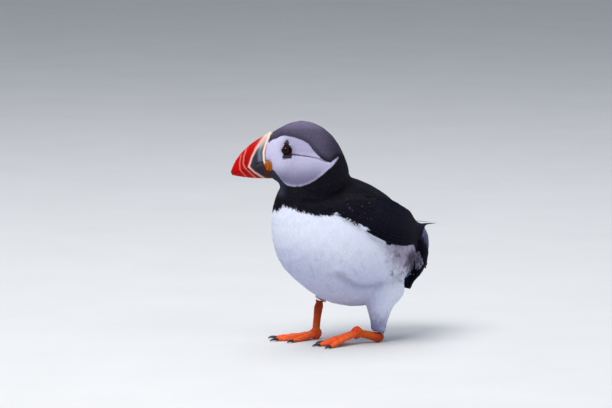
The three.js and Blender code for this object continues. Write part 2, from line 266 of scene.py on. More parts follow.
class Wire:
    def __init__(self, finish, socket):
        self.finish = finish
        self.socket = socket

    def sum(self, kind, first, second):
        return self.finish.add("Math", {"operation": kind}, {0: first, 1: second})

    def __add__(self, other):
        return self.sum("ADD", self, other)

    def __sub__(self, other):
        return self.sum("SUBTRACT", self, other)

    def __rsub__(self, other):
        return self.sum("SUBTRACT", other, self)

    def __mul__(self, other):
        return self.sum("MULTIPLY", self, other)

    __radd__ = __add__
    __rmul__ = __mul__


class Finish:
    def __init__(self, name, fixed):
        self.material = bpy.data.materials.new(name)
        self.material.use_nodes = True
        self.tree = self.material.node_tree
        self.shader = self.tree.nodes["Principled BSDF"]
        for socket, value in fixed.items():
            self.shader.inputs[socket].default_value = value

    def add(self, kind, settings=None, inputs=None, output=0):
        node = self.tree.nodes.new("ShaderNode" + kind)
        for key, value in (settings or {}).items():
            if key == "stops":
                for stop, (place, shade) in zip(node.color_ramp.elements, value):
                    stop.position = place
                    stop.color = (shade, shade, shade, 1)
            else:
                setattr(node, key, value)
        for key, value in (inputs or {}).items():
            self.feed(node.inputs[key], value)
        return Wire(self, node.outputs[output])

    def feed(self, socket, value):
        if isinstance(value, Wire):
            self.tree.links.new(value.socket, socket)
        else:
            socket.default_value = value

    def drive(self, **wires):
        for name, wire in wires.items():
            self.feed(self.shader.inputs[name.replace("_", " ")], wire)

    def noise(self, scale, detail=3, stretch=(1, 1, 1)):
        place = self.add("TexCoord", output=3)
        spot = self.add("Mapping", None, {"Vector": place, "Scale": stretch})
        return self.add("TexNoise", None, {"Vector": spot, "Scale": scale, "Detail": detail})

    def cells(self, scale):
        inputs = {"Vector": self.add("TexCoord", output=3), "Scale": scale}
        return self.add("TexVoronoi", {"feature": "DISTANCE_TO_EDGE"}, inputs)

    def ramp(self, factor, *stops):
        return self.add("ValToRGB", {"stops": stops}, {"Fac": factor})

    def blend(self, factor, first, second, kind="MIX"):
        settings = {"data_type": "RGBA", "blend_type": kind}
        return self.add("Mix", settings, {0: factor, 6: first, 7: second}, 2)

    def bump(self, height, strength, distance):
        inputs = {"Height": height, "Strength": strength, "Distance": distance}
        self.drive(Normal=self.add("Bump", None, inputs))

    def tint(self):
        return self.add("Attribute", {"attribute_name": "tint"})


def mottledTint(finish, scale, low):  # the painted tint, darkened in soft spots
    shade = finish.ramp(finish.noise(scale, 3), (0.3, low), (0.7, 1.0))
    return finish.blend(1.0, finish.tint(), shade, "MULTIPLY")


skins = {  # fixed sockets, grain, mottling, roughness and its spread, bump and its depth in metres
    "bill_horn": ({"Specular IOR Level": 0.08, "Coat Roughness": 0.15, "Coat Weight": 0.015},
                  (700, 4, (1, 1, 3)), (260, 0.86), (0.3, 0.2), (0.25, 0.0002)),
    "cere_skin": ({"Specular IOR Level": 0.4}, (1500, 2), (900, 0.82), (0.45, 0.2), (0.4, 0.0002)),
    "eye_surface": ({"Specular IOR Level": 0.1, "Coat Weight": 0.07, "Coat Roughness": 0.02},
                    (1800, 2), (1600, 0.75), (0.08, 0.05), None),
    "orbital_ring": ({"Specular IOR Level": 0.2}, (1400, 3), (1200, 0.7), (0.42, 0.2), (0.4, 0.0002)),
    "eye_plate_horn": ({"Specular IOR Level": 0.4}, (900, 3), (700, 0.75), (0.45, 0.2), (0.4, 0.0002)),
    "gape_skin": ({"Specular IOR Level": 0.15}, (1100, 3), (800, 0.8), (0.45, 0.15), (0.35, 0.0002)),
    "claw_horn": ({"Specular IOR Level": 0.5}, (900, 3, (1, 1, 4)), (900, 0.7), (0.32, 0.2),
                  (0.3, 0.0002)),
    "puffin_skin": ({"Specular IOR Level": 0.2}, (900, 2), (900, 0.85), (0.8, 0.1), None),
}


def grainyFinish(name):
    fixed, grain, mottling, (rough, change), bumps = skins[name]
    finish = Finish(name, fixed)
    height = finish.noise(*grain)
    finish.drive(Base_Color=mottledTint(finish, *mottling), Roughness=rough + change * height)
    if bumps:
        finish.bump(height, *bumps)
    return finish


# ---- camera, light and floor ----

view = {
    "azimuth": 55, "elevation": 7, "distance": 4430, "lens": 300,
    "aim": (-33.9, 118.3),  # across and above the foot of the trunk's middle line
}


def bearing(azimuth, elevation):
    a, e = math.radians(azimuth), math.radians(elevation)
    return Vector((math.sin(a) * math.cos(e), -math.cos(a) * math.cos(e), math.sin(e)))


def lookFrom(holder, back, target, distance):
    bpy.context.scene.collection.objects.link(holder)
    holder.location = target + back * distance
    holder.rotation_euler = (-back).to_track_quat("-Z", "Y").to_euler()


def makeCamera():
    back = bearing(view["azimuth"], view["elevation"])
    across = Vector((0, 0, 1)).cross(back).normalized()
    aim = across * view["aim"][0] + back.cross(across) * view["aim"][1]
    camera = bpy.data.objects.new("camera", bpy.data.cameras.new("camera"))
    camera.data.lens = view["lens"]
    camera.data.sensor_width = 36
    lookFrom(camera, back, Vector(toRow(aim)), view["distance"] / 1000)
    bpy.context.scene.camera = camera


lights = {  # azimuth, elevation, distance and size in metres, watts, colour
    "key": (18, 60, 2.2, 1.5, 44, (1.0, 0.985, 0.97)),
    "fill": (115, 26, 2.4, 2.2, 10, (0.84, 0.9, 1.0)),
    "top": (235, 70, 2.2, 2.0, 25, (0.92, 0.95, 1.0)),
}
sky = {"Color": (0.8, 0.87, 1.0, 1), "Strength": 0.42}
floorShades = ((0.58, 0.58, 0.575, 1), (0.64, 0.64, 0.635, 1))


def makeLights():
    middle = Vector(toRow((0, -5, 100)))
    for name, (azimuth, elevation, distance, size, power, colour) in lights.items():
        lamp = bpy.data.lights.new(name, "AREA")
        lamp.shape = "DISK"
        lamp.size = size
        lamp.energy = power
        lamp.color = colour
        lookFrom(bpy.data.objects.new(name, lamp), bearing(azimuth, elevation), middle, distance)
    world = bpy.data.worlds.new("sky")
    world.use_nodes = True
    for socket, value in sky.items():
        world.node_tree.nodes["Background"].inputs[socket].default_value = value
    bpy.context.scene.world = world


def makeFloor():
    floor = primitive("floor", "plane", size=60, location=(0, 0, 0))
    finish = Finish("pale_floor", {"Roughness": 0.9})
    finish.drive(Base_Color=finish.blend(finish.noise(9, 4), *floorShades))
    floor.data.materials.append(finish.material)


makeCamera()
makeLights()
makeFloor()
print("camera, light and floor are set")

# ---- the head's own axes ----

headMid = np.array((-5.6, -40, 158))
headTurn = math.radians(-32)
headCos, headSin = math.cos(headTurn), math.sin(headTurn)


def toHead(points):  # ahead of, above and to the left of the head's middle
    q = np.asarray(points, float) - headMid
    ahead = q[..., 0] * headSin - q[..., 1] * headCos
    return ahead, q[..., 2], q[..., 0] * headCos + q[..., 1] * headSin


def headWay(ahead, above, left):  # a direction given in the head's axes
    x = left * headCos + ahead * headSin
    y = left * headSin - ahead * headCos
    return np.stack(np.broadcast_arrays(x, y, above), -1)


def fromHead(ahead, above, left):
    return headWay(ahead, above, left) + headMid


# ---- bill ----

bill = {  # lines in the side view of the head, ahead and above
    "culmen": ((27, 26.5), (57, 13), (62.8, -8.8)),
    "gape": ((27, 1), (46, -4.6), (62.3, -9.2)),
    "gonys": ((25, -14), (46, -14.7), (61.6, -11)),
    "half": (9.6, 8.4, 7, 5.8, 4.2, 1.4),
    "face": ((28.6, 25.5), (31.8, 17), (34, 9), (33.6, 2), (31.2, -4.5), (28.4, -16.5)),
    "ridge": ((30.5, 26), (36, 19.3), (41.4, 12), (45, 5), (47.8, -3.5), (42.6, -8.4), (33, -14.6)),
    "middleRidge": ((46.4, 16.4), (49.4, 11.6), (51.5, 5.3), (52.1, -0.8), (50.6, -4.4),
                    (42.4, -12.4), (38, -15.5)),
    "frontRidge": ((52, 10), (54.2, 5.2), (55.2, -0.7), (54.9, -6), (52.2, -9.3), (48, -14)),
    "nostril": ((34.5, 1.3), (38.5, 0.3), (41.4, -1.2)),
    "band": 1.75, "bandRise": 0.42, "gap": 0.17,
}
billColours = {
    "tip": tone(196, 3, 5), "middle": tone(188, 3, 5), "base": tone(176, 4, 5),
    "ridge": tone(236, 128, 112), "pale": tone(234, 194, 180), "milk": tone(190, 182, 190),
    "slate": tone(56, 52, 64), "slateBlue": tone(124, 135, 156), "slateLow": tone(42, 46, 56),
    "rim": tone(96, 40, 34), "dark": tone(26, 20, 24), "lip": tone(150, 106, 108),
    "cere": tone(248, 224, 204), "cereEdge": tone(186, 110, 66), "beak": tone(86, 20, 14),
}


def lineAt(name, z):  # how far ahead a line of the bill is at a height
    return np.interp(z, *np.array(sorted((b, a) for a, b in bill[name])).T)


def mandible(name, ridge, edge, inset, sideways, lengthways):  # a ball drawn out into half a bill
    piece = primitive(name, "uv_sphere", segments=sideways, ring_count=lengthways, radius=1)
    p = spots(piece)
    ring = np.rint(np.degrees(np.arccos(np.clip(p[:, 2], -1, 1))) / 180 * lengthways)
    s = np.clip((ring - 1) / (lengthways - 2), 0, 1)
    turn = np.arctan2(p[:, 1], p[:, 0])
    corner = 0.8 * math.pi
    t = np.abs(turn)
    h = np.minimum(t / corner, 1) ** 1.6
    inner = np.clip((math.pi - t) / (math.pi - corner), 0, 1)
    top, low = bent(bill[ridge], s), bent(bill[edge], s)
    low[:, 1] += inset
    spot = top * (1 - h[:, None]) + low * h[:, None]
    half = through(bill["half"], s) * h ** 0.55 * inner * np.sign(turn + 1e-9)
    pole = (ring == 0) | (ring == lengthways)
    spot[pole] = ((top + low) / 2)[pole]
    half[pole] = 0
    move(piece, toRow(fromHead(spot[:, 0], spot[:, 1], half)))
    faceOut(piece)
    return piece


def billTints(f, z, left, upper):
    ridge, middle, front = (lineDistance(bill[name], f, z) * np.sign(f - lineAt(name, z))
                            for name in ("ridge", "middleRidge", "frontRidge"))
    face = f - lineAt("face", z)
    gape = z - np.interp(f, *bent(bill["gape"], np.linspace(0, 1, 30)).T)
    count = len(f)
    slate = layered(
        plain(billColours["slate"], count), (billColours["slateLow"], ease(2, -10, z)),
        (billColours["slateBlue"], ease(7.5, 3.5, face) * ease(-2, 4, z)))
    slate = mixIn(slate, slate * 0.55, ease(4.6, 3.2, face) * upper)
    streak = 0.5 + 0.5 * np.sin(ridge * 4.6 + wobble(np.stack((f, z, left), -1), 6) * 1.2)
    slate = slate * (0.82 + 0.3 * streak)[:, None]
    milk = ease(10, 17.5, z) * ease(-7.5, -1.0, ridge)
    slate = mixIn(slate, billColours["milk"], milk)
    if not upper:
        slate = mixIn(slate, billColours["rim"], ease(5.4, 2.2, face))
    red = layered(
        plain(billColours["base"], count), (billColours["middle"], ease(-0.4, 0.3, middle)),
        (billColours["tip"], ease(-0.3, 0.4, front)))
    # painted shade in the grooves cut beside the middle and front ridges
    red = mixIn(red, red * 0.55, 0.75 * bell(middle + 1.1, 0.7) + 0.5 * bell(front + 0.9, 0.5))
    red = layered(
        red, (billColours["tip"], ease(4, 9, z) * 0.8),
        (billColours["ridge"], 0.95 * bell(middle, 0.55) * ease(15.5, 10, z)),
        (billColours["ridge"], 0.75 * bell(front, 0.5) * ease(8.5, 5, z)),
        (billColours["beak"], ease(60.6, 62.4, f) * 0.8))
    colour = mixIn(slate, red, ease(-0.15, 0.35, ridge))
    pale = bell(ridge + 0.35, 0.75 + 0.55 * ease(8, 20, z))
    colour = mixIn(colour, billColours["pale"], np.clip(pale * 1.25, 0, 1))
    lip = bell(gape, 0.5) * ease(1, -1, ridge)
    colour = mixIn(colour, billColours["lip"], 0.5 * lip * ease(46, 36, f))
    slit = bell(lineDistance(bill["nostril"], f, z), 0.5)
    return mixIn(colour, billColours["dark"], np.clip(slit * 1.2, 0, 1)), ridge, middle, front, slit


def makeBill():
    finish = grainyFinish("bill_horn")
    gap = bill["gap"]
    for name, ridge, inset, upper, nodes in (
            ("bill_upper", "culmen", gap, True, ("bill_upper_plate", "bill_upper_tip")),
            ("bill_lower", "gonys", -gap, False, ("bill_lower_plate", "bill_lower_tip"))):
        piece = mandible(name, ridge, "gape", inset, 192, 180)
        f, z, left = toHead(toBird(spots(piece)))
        colour, pale, middle, front, slit = billTints(f, z, left, upper)
        relief = 0.42 * bell(pale + 0.3, 0.75) + 0.3 * bell(middle, 0.5) + 0.26 * bell(front, 0.45)
        relief -= 0.24 * bell(middle + 1.0, 0.55) + 0.2 * bell(front + 0.9, 0.5) + 0.5 * slit
        relief += 0.05 * np.sin(pale * 4.6) * (pale < -1) + 0.03 * np.sin(pale * 9) * (pale > 1)
        raiseBy(piece, relief * ease(0.3, 2.0, np.abs(left)))
        paint(piece, colour)
        settle(piece, finish, "red_horn", *nodes)


def billSpot(ahead, h, sign):  # the place on the upper bill a distance ahead of the face
    s = np.linspace(0, 0.6, 500)[:, None]
    top, low = bent(bill["culmen"], s[:, 0]), bent(bill["gape"], s[:, 0])
    f = top[:, :1] * (1 - h) + low[:, :1] * h
    z = top[:, 1:] * (1 - h) + low[:, 1:] * h
    best = np.abs(f - lineAt("face", z) - ahead).argmin(0)
    row = np.arange(len(h))
    half = through(bill["half"], s[best, 0]) * h ** 0.55
    return fromHead(f[best, row], z[best, row], half * sign)


def makeCere():  # the raised, pitted band where the feathers meet the upper bill
    piece = primitive("bill_cere_band", "grid", x_subdivisions=28, y_subdivisions=170, size=2)
    p = spots(piece)
    h = np.abs(p[:, 1]) ** 1.6
    width = bill["band"] - 0.35 * ease(0.5, 0.0, h)
    ahead = -0.9 + (p[:, 0] + 1) / 2 * (width + 0.9)
    spot = billSpot(ahead, h, np.sign(p[:, 1]) + (p[:, 1] == 0))
    move(piece, toRow(spot))
    faceOut(piece)
    if (normals(piece) * (toRow(spot) - toRow(fromHead(30, 8, 0)))).sum() < 0:
        editAll(piece, (bpy.ops.mesh.flip_normals, {}))
    crown = bill["bandRise"] * (1 - np.abs(p[:, 0]) ** 3)
    pits = np.sin(p[:, 0] * 9 + np.sin(p[:, 1] * 120) * 1.5) * np.sin(p[:, 1] * 95)
    raiseBy(piece, crown + 0.07 * pits + 0.1)
    colour = plain(billColours["cere"], len(p)) * (0.93 + 0.09 * pits)[:, None]
    rearEdge = ease(-0.28, -0.5, p[:, 0]) * ease(0.25, 0.5, h)
    paint(piece, mixIn(colour, billColours["cereEdge"], rearEdge))
    apply(piece, "SOLIDIFY", thickness=0.0009, offset=-1)
    settle(piece, grainyFinish("cere_skin"), "cream_horn", "bill_cere")


makeBill()
makeCere()
print("bill is shaped")

# ---- eyes, their rings and plates, and the folds at the corners of the mouth ----

eyes = {
    "gaze": 14, "radius": 4.65, "cornea": 0.3, "drop": 0.5, "ringSize": (3.35, 0.66),
    "corneaEdge": (0.75, 0.2), "irisEdge": (0.33, 0.38), "rimEdge": (0.52, 0.75),  # radians
    "ringBeads": 34, "ringHeight": 0.8, "ringLean": 0.12, "ringTall": 1.05,
    "plateVoxel": 0.18, "plateEvenings": 30,
    "pupil": tone(6, 3, 5), "iris": tone(54, 6, 10), "rim": tone(20, 5, 7),
    "ring": tone(40, 10, 14), "ringShade": tone(22, 6, 9),
    "upper": tone(72, 56, 72), "lower": tone(34, 22, 32),
}
rosette = {
    "radii": (2.7, 3.1, 4.5), "tilt": 24, "folds": 4.4, "depth": 0.17,
    "high": tone(190, 102, 3), "low": tone(146, 68, 2),
}


def middleOf(node):
    low, high = (np.array(c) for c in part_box(node))
    return toBird((low + high) / 2)


def gazeAxes(sign):  # across, up and outward for an eye
    a = math.radians(eyes["gaze"])
    out = headWay(math.sin(a), 0.0, math.cos(a) * sign)
    up = np.array((0, 0, 1.0))
    return np.cross(up, out), up, out


def stand(piece, sign, middle):  # turns a piece that faces +Z to face outwards at a side of the head
    p = spots(piece)
    across, up, out = gazeAxes(sign)
    turned = p[:, :1] * across + p[:, 1:2] * up + p[:, 2:] * out
    move(piece, toRow(turned + middle))


def makeEyes():
    wet, lidSkin, slate = map(grainyFinish, ("eye_surface", "orbital_ring", "eye_plate_horn"))
    for side, sign in sides.items():
        radius = eyes["radius"]
        ball = primitive(f"eyeball_{side}", "uv_sphere", segments=64, ring_count=48, radius=radius)
        p = spots(ball)
        angle = np.arccos(np.clip(p[:, 2] / radius, -1, 1))
        p = p * (1 + eyes["cornea"] / radius * ease(*eyes["corneaEdge"], angle))[:, None]
        move(ball, p)
        paint(ball, layered(
            plain(eyes["pupil"], len(p)), (eyes["iris"], ease(*eyes["irisEdge"], angle)),
            (eyes["rim"], ease(*eyes["rimEdge"], angle))))
        drop = np.array((0, 0, eyes["drop"]))
        stand(ball, sign, middleOf(f"eye_{side}") - drop)
        settle(ball, wet, "eye_surface", f"eye_{side}")
        major, minor = eyes["ringSize"]
        ring = primitive(f"orbital_ring_{side}", "torus", major_radius=major, minor_radius=minor,
                         major_segments=120, minor_segments=18)
        p = spots(ring)
        turn = np.arctan2(p[:, 1], p[:, 0])
        out = np.hypot(p[:, 0], p[:, 1]) - major
        beads = np.sin(turn * eyes["ringBeads"])
        p[:, 2] = p[:, 2] * eyes["ringHeight"] + 0.05 * beads - eyes["ringLean"] * out
        p[:, 1] *= eyes["ringTall"]
        move(ring, p)
        paint(ring, mixIn(plain(eyes["ring"], len(p)), eyes["ringShade"], 0.5 + 0.5 * beads))
        stand(ring, sign, middleOf(f"eye_ring_{side}") - drop)
        settle(ring, lidSkin, "red_horn", f"eye_ring_{side}")
        for place in ("upper", "lower"):
            node = f"eye_plate_{place}_{side}"
            plate = copyNodes(f"eye_horn_{place}_{side}", [node])
            rounded(plate, eyes["plateVoxel"], eyes["plateEvenings"])
            p = toBird(spots(plate))
            raiseBy(plate, 0.05 * wobble(p, 0.5))
            paint(plate, eyes[place] * (0.9 + 0.2 * wobble(p, 0.8))[:, None])
            settle(plate, slate, "slate_horn", node)


def makeRosettes():
    finish = grainyFinish("gape_skin")
    for side, sign in sides.items():
        node = f"gape_rosette_{side}"
        piece = primitive(f"gape_fold_{side}", "uv_sphere", segments=128, ring_count=96, radius=1)
        p = spots(piece)
        a = math.radians(rosette["tilt"])
        size = np.array(rosette["radii"]) * (1 - 0.22 * p[:, 2:])  # broader below
        out, back, up = (p * size).T
        fold = np.hypot(p[:, 1] + 0.9, p[:, 2] - 0.35)
        depth = np.sin(fold * rosette["folds"] * 2 + 0.5 * np.sin(p[:, 2] * 7))
        out = out + rosette["depth"] * depth * (p[:, 0] > -0.2)
        f = -(back * math.cos(a) - up * math.sin(a))
        z = back * math.sin(a) + up * math.cos(a)
        head = toHead(middleOf(node))
        spot = fromHead(head[0] + f, head[1] + z, head[2] + out * sign)
        move(piece, toRow(spot))
        faceOut(piece)
        # painted shade: the folds are darker in their hollows, lighter on their crests
        paint(piece, mixIn(plain(rosette["low"], len(p)), rosette["high"], ease(-0.9, 0.7, depth)))
        settle(piece, finish, "yellow_skin", node)


makeEyes()
makeRosettes()
print("eyes and mouth corners are set")

# ---- legs, feet and claws ----

legs = {
    "right": {"heel": (-20.5, -12.5, 34), "ball": (-20, -17, 5.2), "aim": -14, "inward": 1, "arch": 0},
    "left": {"heel": (27, 17, 4.2), "ball": (24, -4.5, 10), "aim": -10, "inward": -1, "arch": 1,
             "heelSize": (3.9, 5.2, 4.3), "heelShift": (-0.2, -0.6, 0.4)},
}
toes = {"inner": (29, 25), "middle": (36, 0), "outer": (35, -23)}  # length and angle
legSkin = {
    "scute": 1.55, "scuteDepth": 0.16, "scaleDepth": 0.11, "scaleEdge": 0.34, "pointsPerScale": 34,
    "joints": (10.5, 20.5, 29), "jointHeight": 0.35, "jointWidth": 1.9, "webFrom": (2.5, 3.3),
    "voxel": 0.42, "evenings": 7, "swell": 0.22, "clawVoxel": 0.22, "clawEvenings": 6,
    "crook": (2.3, 6.4), "tipHeight": 1.3,  # a toe's middle, flat and arched, and its end
    "toe": tone(245, 101, 40), "web": tone(221, 70, 21), "shank": tone(234, 102, 10),
    "shade": tone(156, 36, 4), "crease": tone(150, 44, 14), "claw": tone(34, 28, 30),
    "clawTip": tone(70, 58, 56),
}


def legLines(leg):  # the shank's line and each toe's, as sampled curves
    heel, ball = np.array(leg["heel"], float), np.array(leg["ball"], float)
    t = np.linspace(0, 1, 90)
    yield bent((heel, (heel + ball) / 2 + (0, -0.8, 0.4), ball), t)
    for length, angle in toes.values():
        a = math.radians(leg["aim"] + angle * leg["inward"])
        way = np.array((math.sin(a), -math.cos(a), 0))
        crook = ball + way * length * 0.45
        end = ball + way * length
        crook[2] = legSkin["crook"][leg["arch"]]
        end[2] = legSkin["tipHeight"]
        yield bent((ball, crook, end), t)


def makeLeg(side, leg, finish):
    piece = copyNodes(f"leg_{side}", [f"tarsus_{side}", f"foot_{side}"], legSkin["swell"])
    if leg["arch"]:
        heel = primitive("heel", "uv_sphere", segments=40, ring_count=24, radius=1)
        move(heel, toRow(spots(heel) * leg["heelSize"] + leg["heel"] + leg["heelShift"]))
        pick(piece, heel)
        bpy.ops.object.join()
    rounded(piece, legSkin["voxel"], legSkin["evenings"])
    p = toBird(spots(piece))
    if not leg["arch"]:
        raiseBy(piece, -1.3 * ease(27.5, 33, p[:, 2]))
    lines = list(legLines(leg))
    gaps = np.stack([np.linalg.norm(p[:, None] - line[None, ::3], axis=2) for line in lines])
    nearest = gaps.min(2)
    part = nearest.argmin(0)
    distance = nearest.min(0)
    index = gaps.argmin(2)[part, np.arange(len(p))]
    lengths = [np.cumsum(np.linalg.norm(np.diff(line, axis=0), axis=1)) for line in lines]
    run = np.array([np.concatenate(([0], length))[::3] for length in lengths])[part, index]
    centre = np.stack([line[::3] for line in lines])[part, index]
    away = unit(p - centre)
    onShank = part == 0
    frontOf = np.where(onShank, -away[:, 1] * 0.8 + away[:, 2] * 0.6 * (side == "left"), away[:, 2])
    top = ease(0.1, 0.55, frontOf)
    web = (~onShank) * ease(*legSkin["webFrom"], distance)
    plate = np.abs(np.sin(math.pi * run / legSkin["scute"])) ** 0.5
    seeds = p[dice.permutation(len(p))[: len(p) // legSkin["pointsPerScale"]]]
    tree = treeOf(seeds)
    pair = np.array([[hit[2] for hit in tree.find_n(spot, 2)] for spot in p])
    border = ease(0.0, legSkin["scaleEdge"], pair[:, 1] - pair[:, 0])
    joints = sum(bell(run - at, legSkin["jointWidth"]) for at in legSkin["joints"])
    joints = legSkin["jointHeight"] * joints * (~onShank) * (1 - web)
    relief = legSkin["scuteDepth"] * (plate - 0.7) * top * (1 - web)
    relief += legSkin["scaleDepth"] * (border - 0.7) * (1 - top) * (1 - web)
    relief += joints + 0.05 * np.sin(run * 5 + wobble(p, 3) * 2) * web
    floorShare = ease(0.1, 0.9, p[:, 2])
    raiseBy(piece, relief * floorShare)
    q = spots(piece)
    q[:, 2] = np.maximum(q[:, 2], 0)
    move(piece, q)
    colour = np.where(onShank[:, None], legSkin["shank"], legSkin["toe"])
    colour = mixIn(colour, legSkin["web"], web)
    under = ease(9, 30, p[:, 2]) if side == "right" else ease(6, 17, p[:, 1])
    colour = mixIn(colour, legSkin["shade"], (0.25 + 0.6 * under) * onShank)
    furrow = (1 - plate) ** 2 * top + (1 - border) * (1 - top)
    colour = mixIn(colour, legSkin["crease"], np.clip(furrow, 0, 1) * 0.6 * (1 - web))
    # painted shade where the toes meet the floor
    colour = mixIn(colour, legSkin["crease"], 0.35 * ease(1.2, 0.2, p[:, 2]))
    paint(piece, colour * (1 + 0.07 * wobble(p, 2.2))[:, None])
    settle(piece, finish, "orange_skin", f"tarsus_{side}", f"foot_{side}")


def makeLegs():
    finish = Finish("leg_skin", {"Specular IOR Level": 0.2, "Coat Weight": 0.02, "Coat Roughness": 0.3})
    pores = finish.cells(1900)
    finish.drive(Base_Color=mottledTint(finish, 420, 0.84), Roughness=0.4 + 0.25 * finish.noise(500))
    finish.bump(pores, 0.35, 0.0003)
    horn = grainyFinish("claw_horn")
    for side, leg in legs.items():
        makeLeg(side, leg, finish)
        lines = list(legLines(leg))[1:]
        for name, line in zip(toes, lines):
            node = f"claw_{name}_{side}"
            claw = copyNodes(f"claw_nail_{name}_{side}", [node], 0.1)
            rounded(claw, legSkin["clawVoxel"], legSkin["clawEvenings"])
            p = toBird(spots(claw))
            reach = np.linalg.norm(p - line[-1], axis=1)
            colour = mixIn(plain(legSkin["claw"], len(p)), legSkin["clawTip"], ease(4.5, 6.5, reach))
            paint(claw, colour * (1 + 0.15 * wobble(p, 1.1))[:, None])
            settle(claw, horn, "claw_horn", node)


makeLegs()
print("legs and claws are set")

# ---- the colours of the plumage ----

markings = {  # outlines in the head's side view, and lines along the trunk
    "face": [(33, 18), (30.2, 17.6), (27.1, 19.9), (21.9, 22.3), (18.5, 23.7), (12.6, 23.4),
             (4, 21.3), (-2.8, 17.8), (-6.2, 13.5), (-10.4, 8.8), (-14.8, 4.6), (-20, 2.1),
             (-22.7, 1.9), (-25.5, 3.7), (-29.7, 5.6), (-23.5, -1.5), (-19.9, -3.8),
             (-14.6, -8.3), (-9.3, -12), (-2.9, -15.8), (4.5, -18.2), (11.5, -18.6),
             (17.2, -16.8), (21.3, -12.1), (25.2, -6.6), (29, -4.2), (33, 0), (37, 8)],
    "crown": [(45, 16), (30.2, 17.6), (27.1, 19.9), (21.9, 22.3), (18.5, 23.7), (12.6, 23.4),
              (4, 21.3), (-2.8, 17.8), (-6.2, 13.5), (-10.4, 8.8), (-14.8, 4.6), (-20, 2.1),
              (-22.7, 1.9), (-29.7, 5.6), (-36, 13), (-50, 60), (45, 60)],
    "lid": [(11.4, 11.5), (12.7, 16), (15.3, 19.3), (17.9, 16), (19.1, 11), (17.9, 7.2), (16.6, 5.3),
            (12.2, 5.3), (10.8, 7.8)],
    "bareEye": [(11.8, 11.5), (12.9, 15.8), (15.3, 19), (17.7, 15.8), (18.8, 12.5), (17.6, 8.6),
                (15.2, 7.6), (12.9, 8.4)],
    "billBase": [(-16, -4, 2, 9, 17, 25), (27.6, 31.0, 33.2, 33.4, 31.2, 28.0)],  # above, ahead
    "crease": [(12, 9), (7, 8.3), (2.2, 7.8), (-3.4, 7.2), (-8, 6.3), (-13, 4.8), (-19, 2.3)],
    # height of the black edge by bearing round the trunk, from the breast to the rump
    "bearing": [0, 5, 9, 20, 31, 45, 58, 66, 81, 86,
                90, 94, 103, 107, 122, 146, 155, 161, 180],
    "height": [117, 123, 122, 117.5, 115, 116, 112, 107, 104.5, 101,
               98, 95, 90, 87, 86, 85, 82, 77, 68],
    # how far back the black of the rump and tail begins, by height
    "rumpHeight": [38, 42, 49, 56, 61.5, 65, 68, 75, 81, 86, 90],
    "rumpStart": [54, 57, 60.5, 65, 69.5, 71, 71.5, 70, 66, 61, 56],
    "flank": [(9, 86), (15, 70), (24, 61.5), (36, 58.5), (50, 57.5), (62, 56), (73, 56),
              (82, 64), (83, 76), (74, 86), (60, 90), (40, 91), (20, 92)],  # back and up, each side
    "dashes": [(22, 61), (31, 60), (40, 58), (50, 61)],
    "dots": [(22, 78.5), (30, 76.5)],
}
for outline in ("face", "crown"):  # drawn through their points as smooth closed curves
    line = markings[outline]
    markings[outline] = through(line + line[:1], np.linspace(0, 1, 3 * len(line) + 1)[:-1])
colours = {
    "crown": tone(80, 74, 95), "crownLitTop": tone(106, 97, 123), "crownRear": tone(50, 46, 60),
    # speck: the bluish colour of the painted glints on dark feather tips
    "black": tone(12, 10, 18), "back": tone(15, 13, 27), "glint": tone(58, 60, 88),
    # face, brow, rear and jowl: the face's pale grey under painted light from above, with painted shade
    # over the eye, behind it and low on the cheek
    "face": tone(204, 201, 230), "brow": tone(168, 163, 193), "rear": tone(184, 180, 207),
    "jowl": tone(121, 116, 148), "rim": tone(206, 202, 224), "crease": tone(40, 32, 50),
    "chin": tone(52, 54, 70), "lid": tone(38, 16, 24), "haze": tone(120, 114, 132),
    "white": tone(230, 234, 250), "shade": tone(192, 198, 228), "streak": tone(164, 170, 203),
    "flank": tone(66, 54, 72), "smudge": tone(148, 134, 160), "thigh": tone(104, 102, 146),
    # rump: the bluish colour of the painted sheen over the rump's black
    "dash": tone(40, 34, 50), "rump": tone(124, 122, 160),
}
grading = {  # where each change of colour starts and ends: millimetres, or a share of a pattern
    "whiteEdge": (0.6, -0.6), "rumpEdge": (0.5, -0.5), "wingFront": (-13, -6), "neck": (108, 128),
    "sheenFront": (-1.5, 2.5), "sheenLow": (72, 83), "sheenHigh": (98, 93), "sheenSide": (18, 9),
    "hazeHigh": (4, -1), "hazeFront": (-40, -50), "hazeSide": (16, 8), "hazeFleck": (-0.2, 0.6),
    "belly": (90, 46), "bellyRear": (4, 26), "bellySide": (22, 30), "wingSide": (35, 43),
    "streak": (0.1, 0.8), "streakHigh": (96, 70), "streakRear": (20, -20),
    "flankSide": (8, 14), "flankRear": (42, 52), "smudge": (8, -13), "core": (1.25, 0.35),
    "dash": (-0.1, 0.4), "downHigh": (31, 13), "downRear": (36, 12), "headLow": (-30, -24),
    "faceFront": (9, 24), "browShadeHigh": (7, 12), "browShadeFront": (15, 9), "jowlShadeLow": (4.5, -16),
    "jowlShadeRear": (-22, -8), "rimFront": (24, 14), "lidShadeHigh": (5, 13), "lidEdge": (0.4, -0.3),
    "creaseFront": (4, 11), "creaseRear": (-16, 4), "chinFront": (14, 22), "chinLow": (0, -5),
    "crownEdge": (0.4, -0.4), "crownLitHigh": (27, 34), "crownRear": (-12, -30),
    "napeRear": (-4, -16), "napeLow": (14, 6), "faceEdge": (0.3, -0.3),
}
shares = {  # how strongly each colour shows where it is full
    "sheen": 0.85, "haze": 0.75, "shade": 0.9, "fold": 0.8, "streak": 0.3, "flank": 0.95,
    "dash": 0.75, "thigh": 0.85, "rim": 0.4, "lid": 0.8,
}
flankCore = ((55, 69), (15, 10.5))  # middle and radii of the flank's dark spot, back and up


def blackEdge(p):
    around = np.degrees(np.arctan2(np.abs(p[:, 0]), -p[:, 1]))
    turned = 6.5 * ease(2, -12, p[:, 0]) * ease(60, 35, around)  # the collar turns with the head
    return np.interp(around, markings["bearing"], markings["height"]) - turned


def graded(name, value):
    return ease(*grading[name], value)


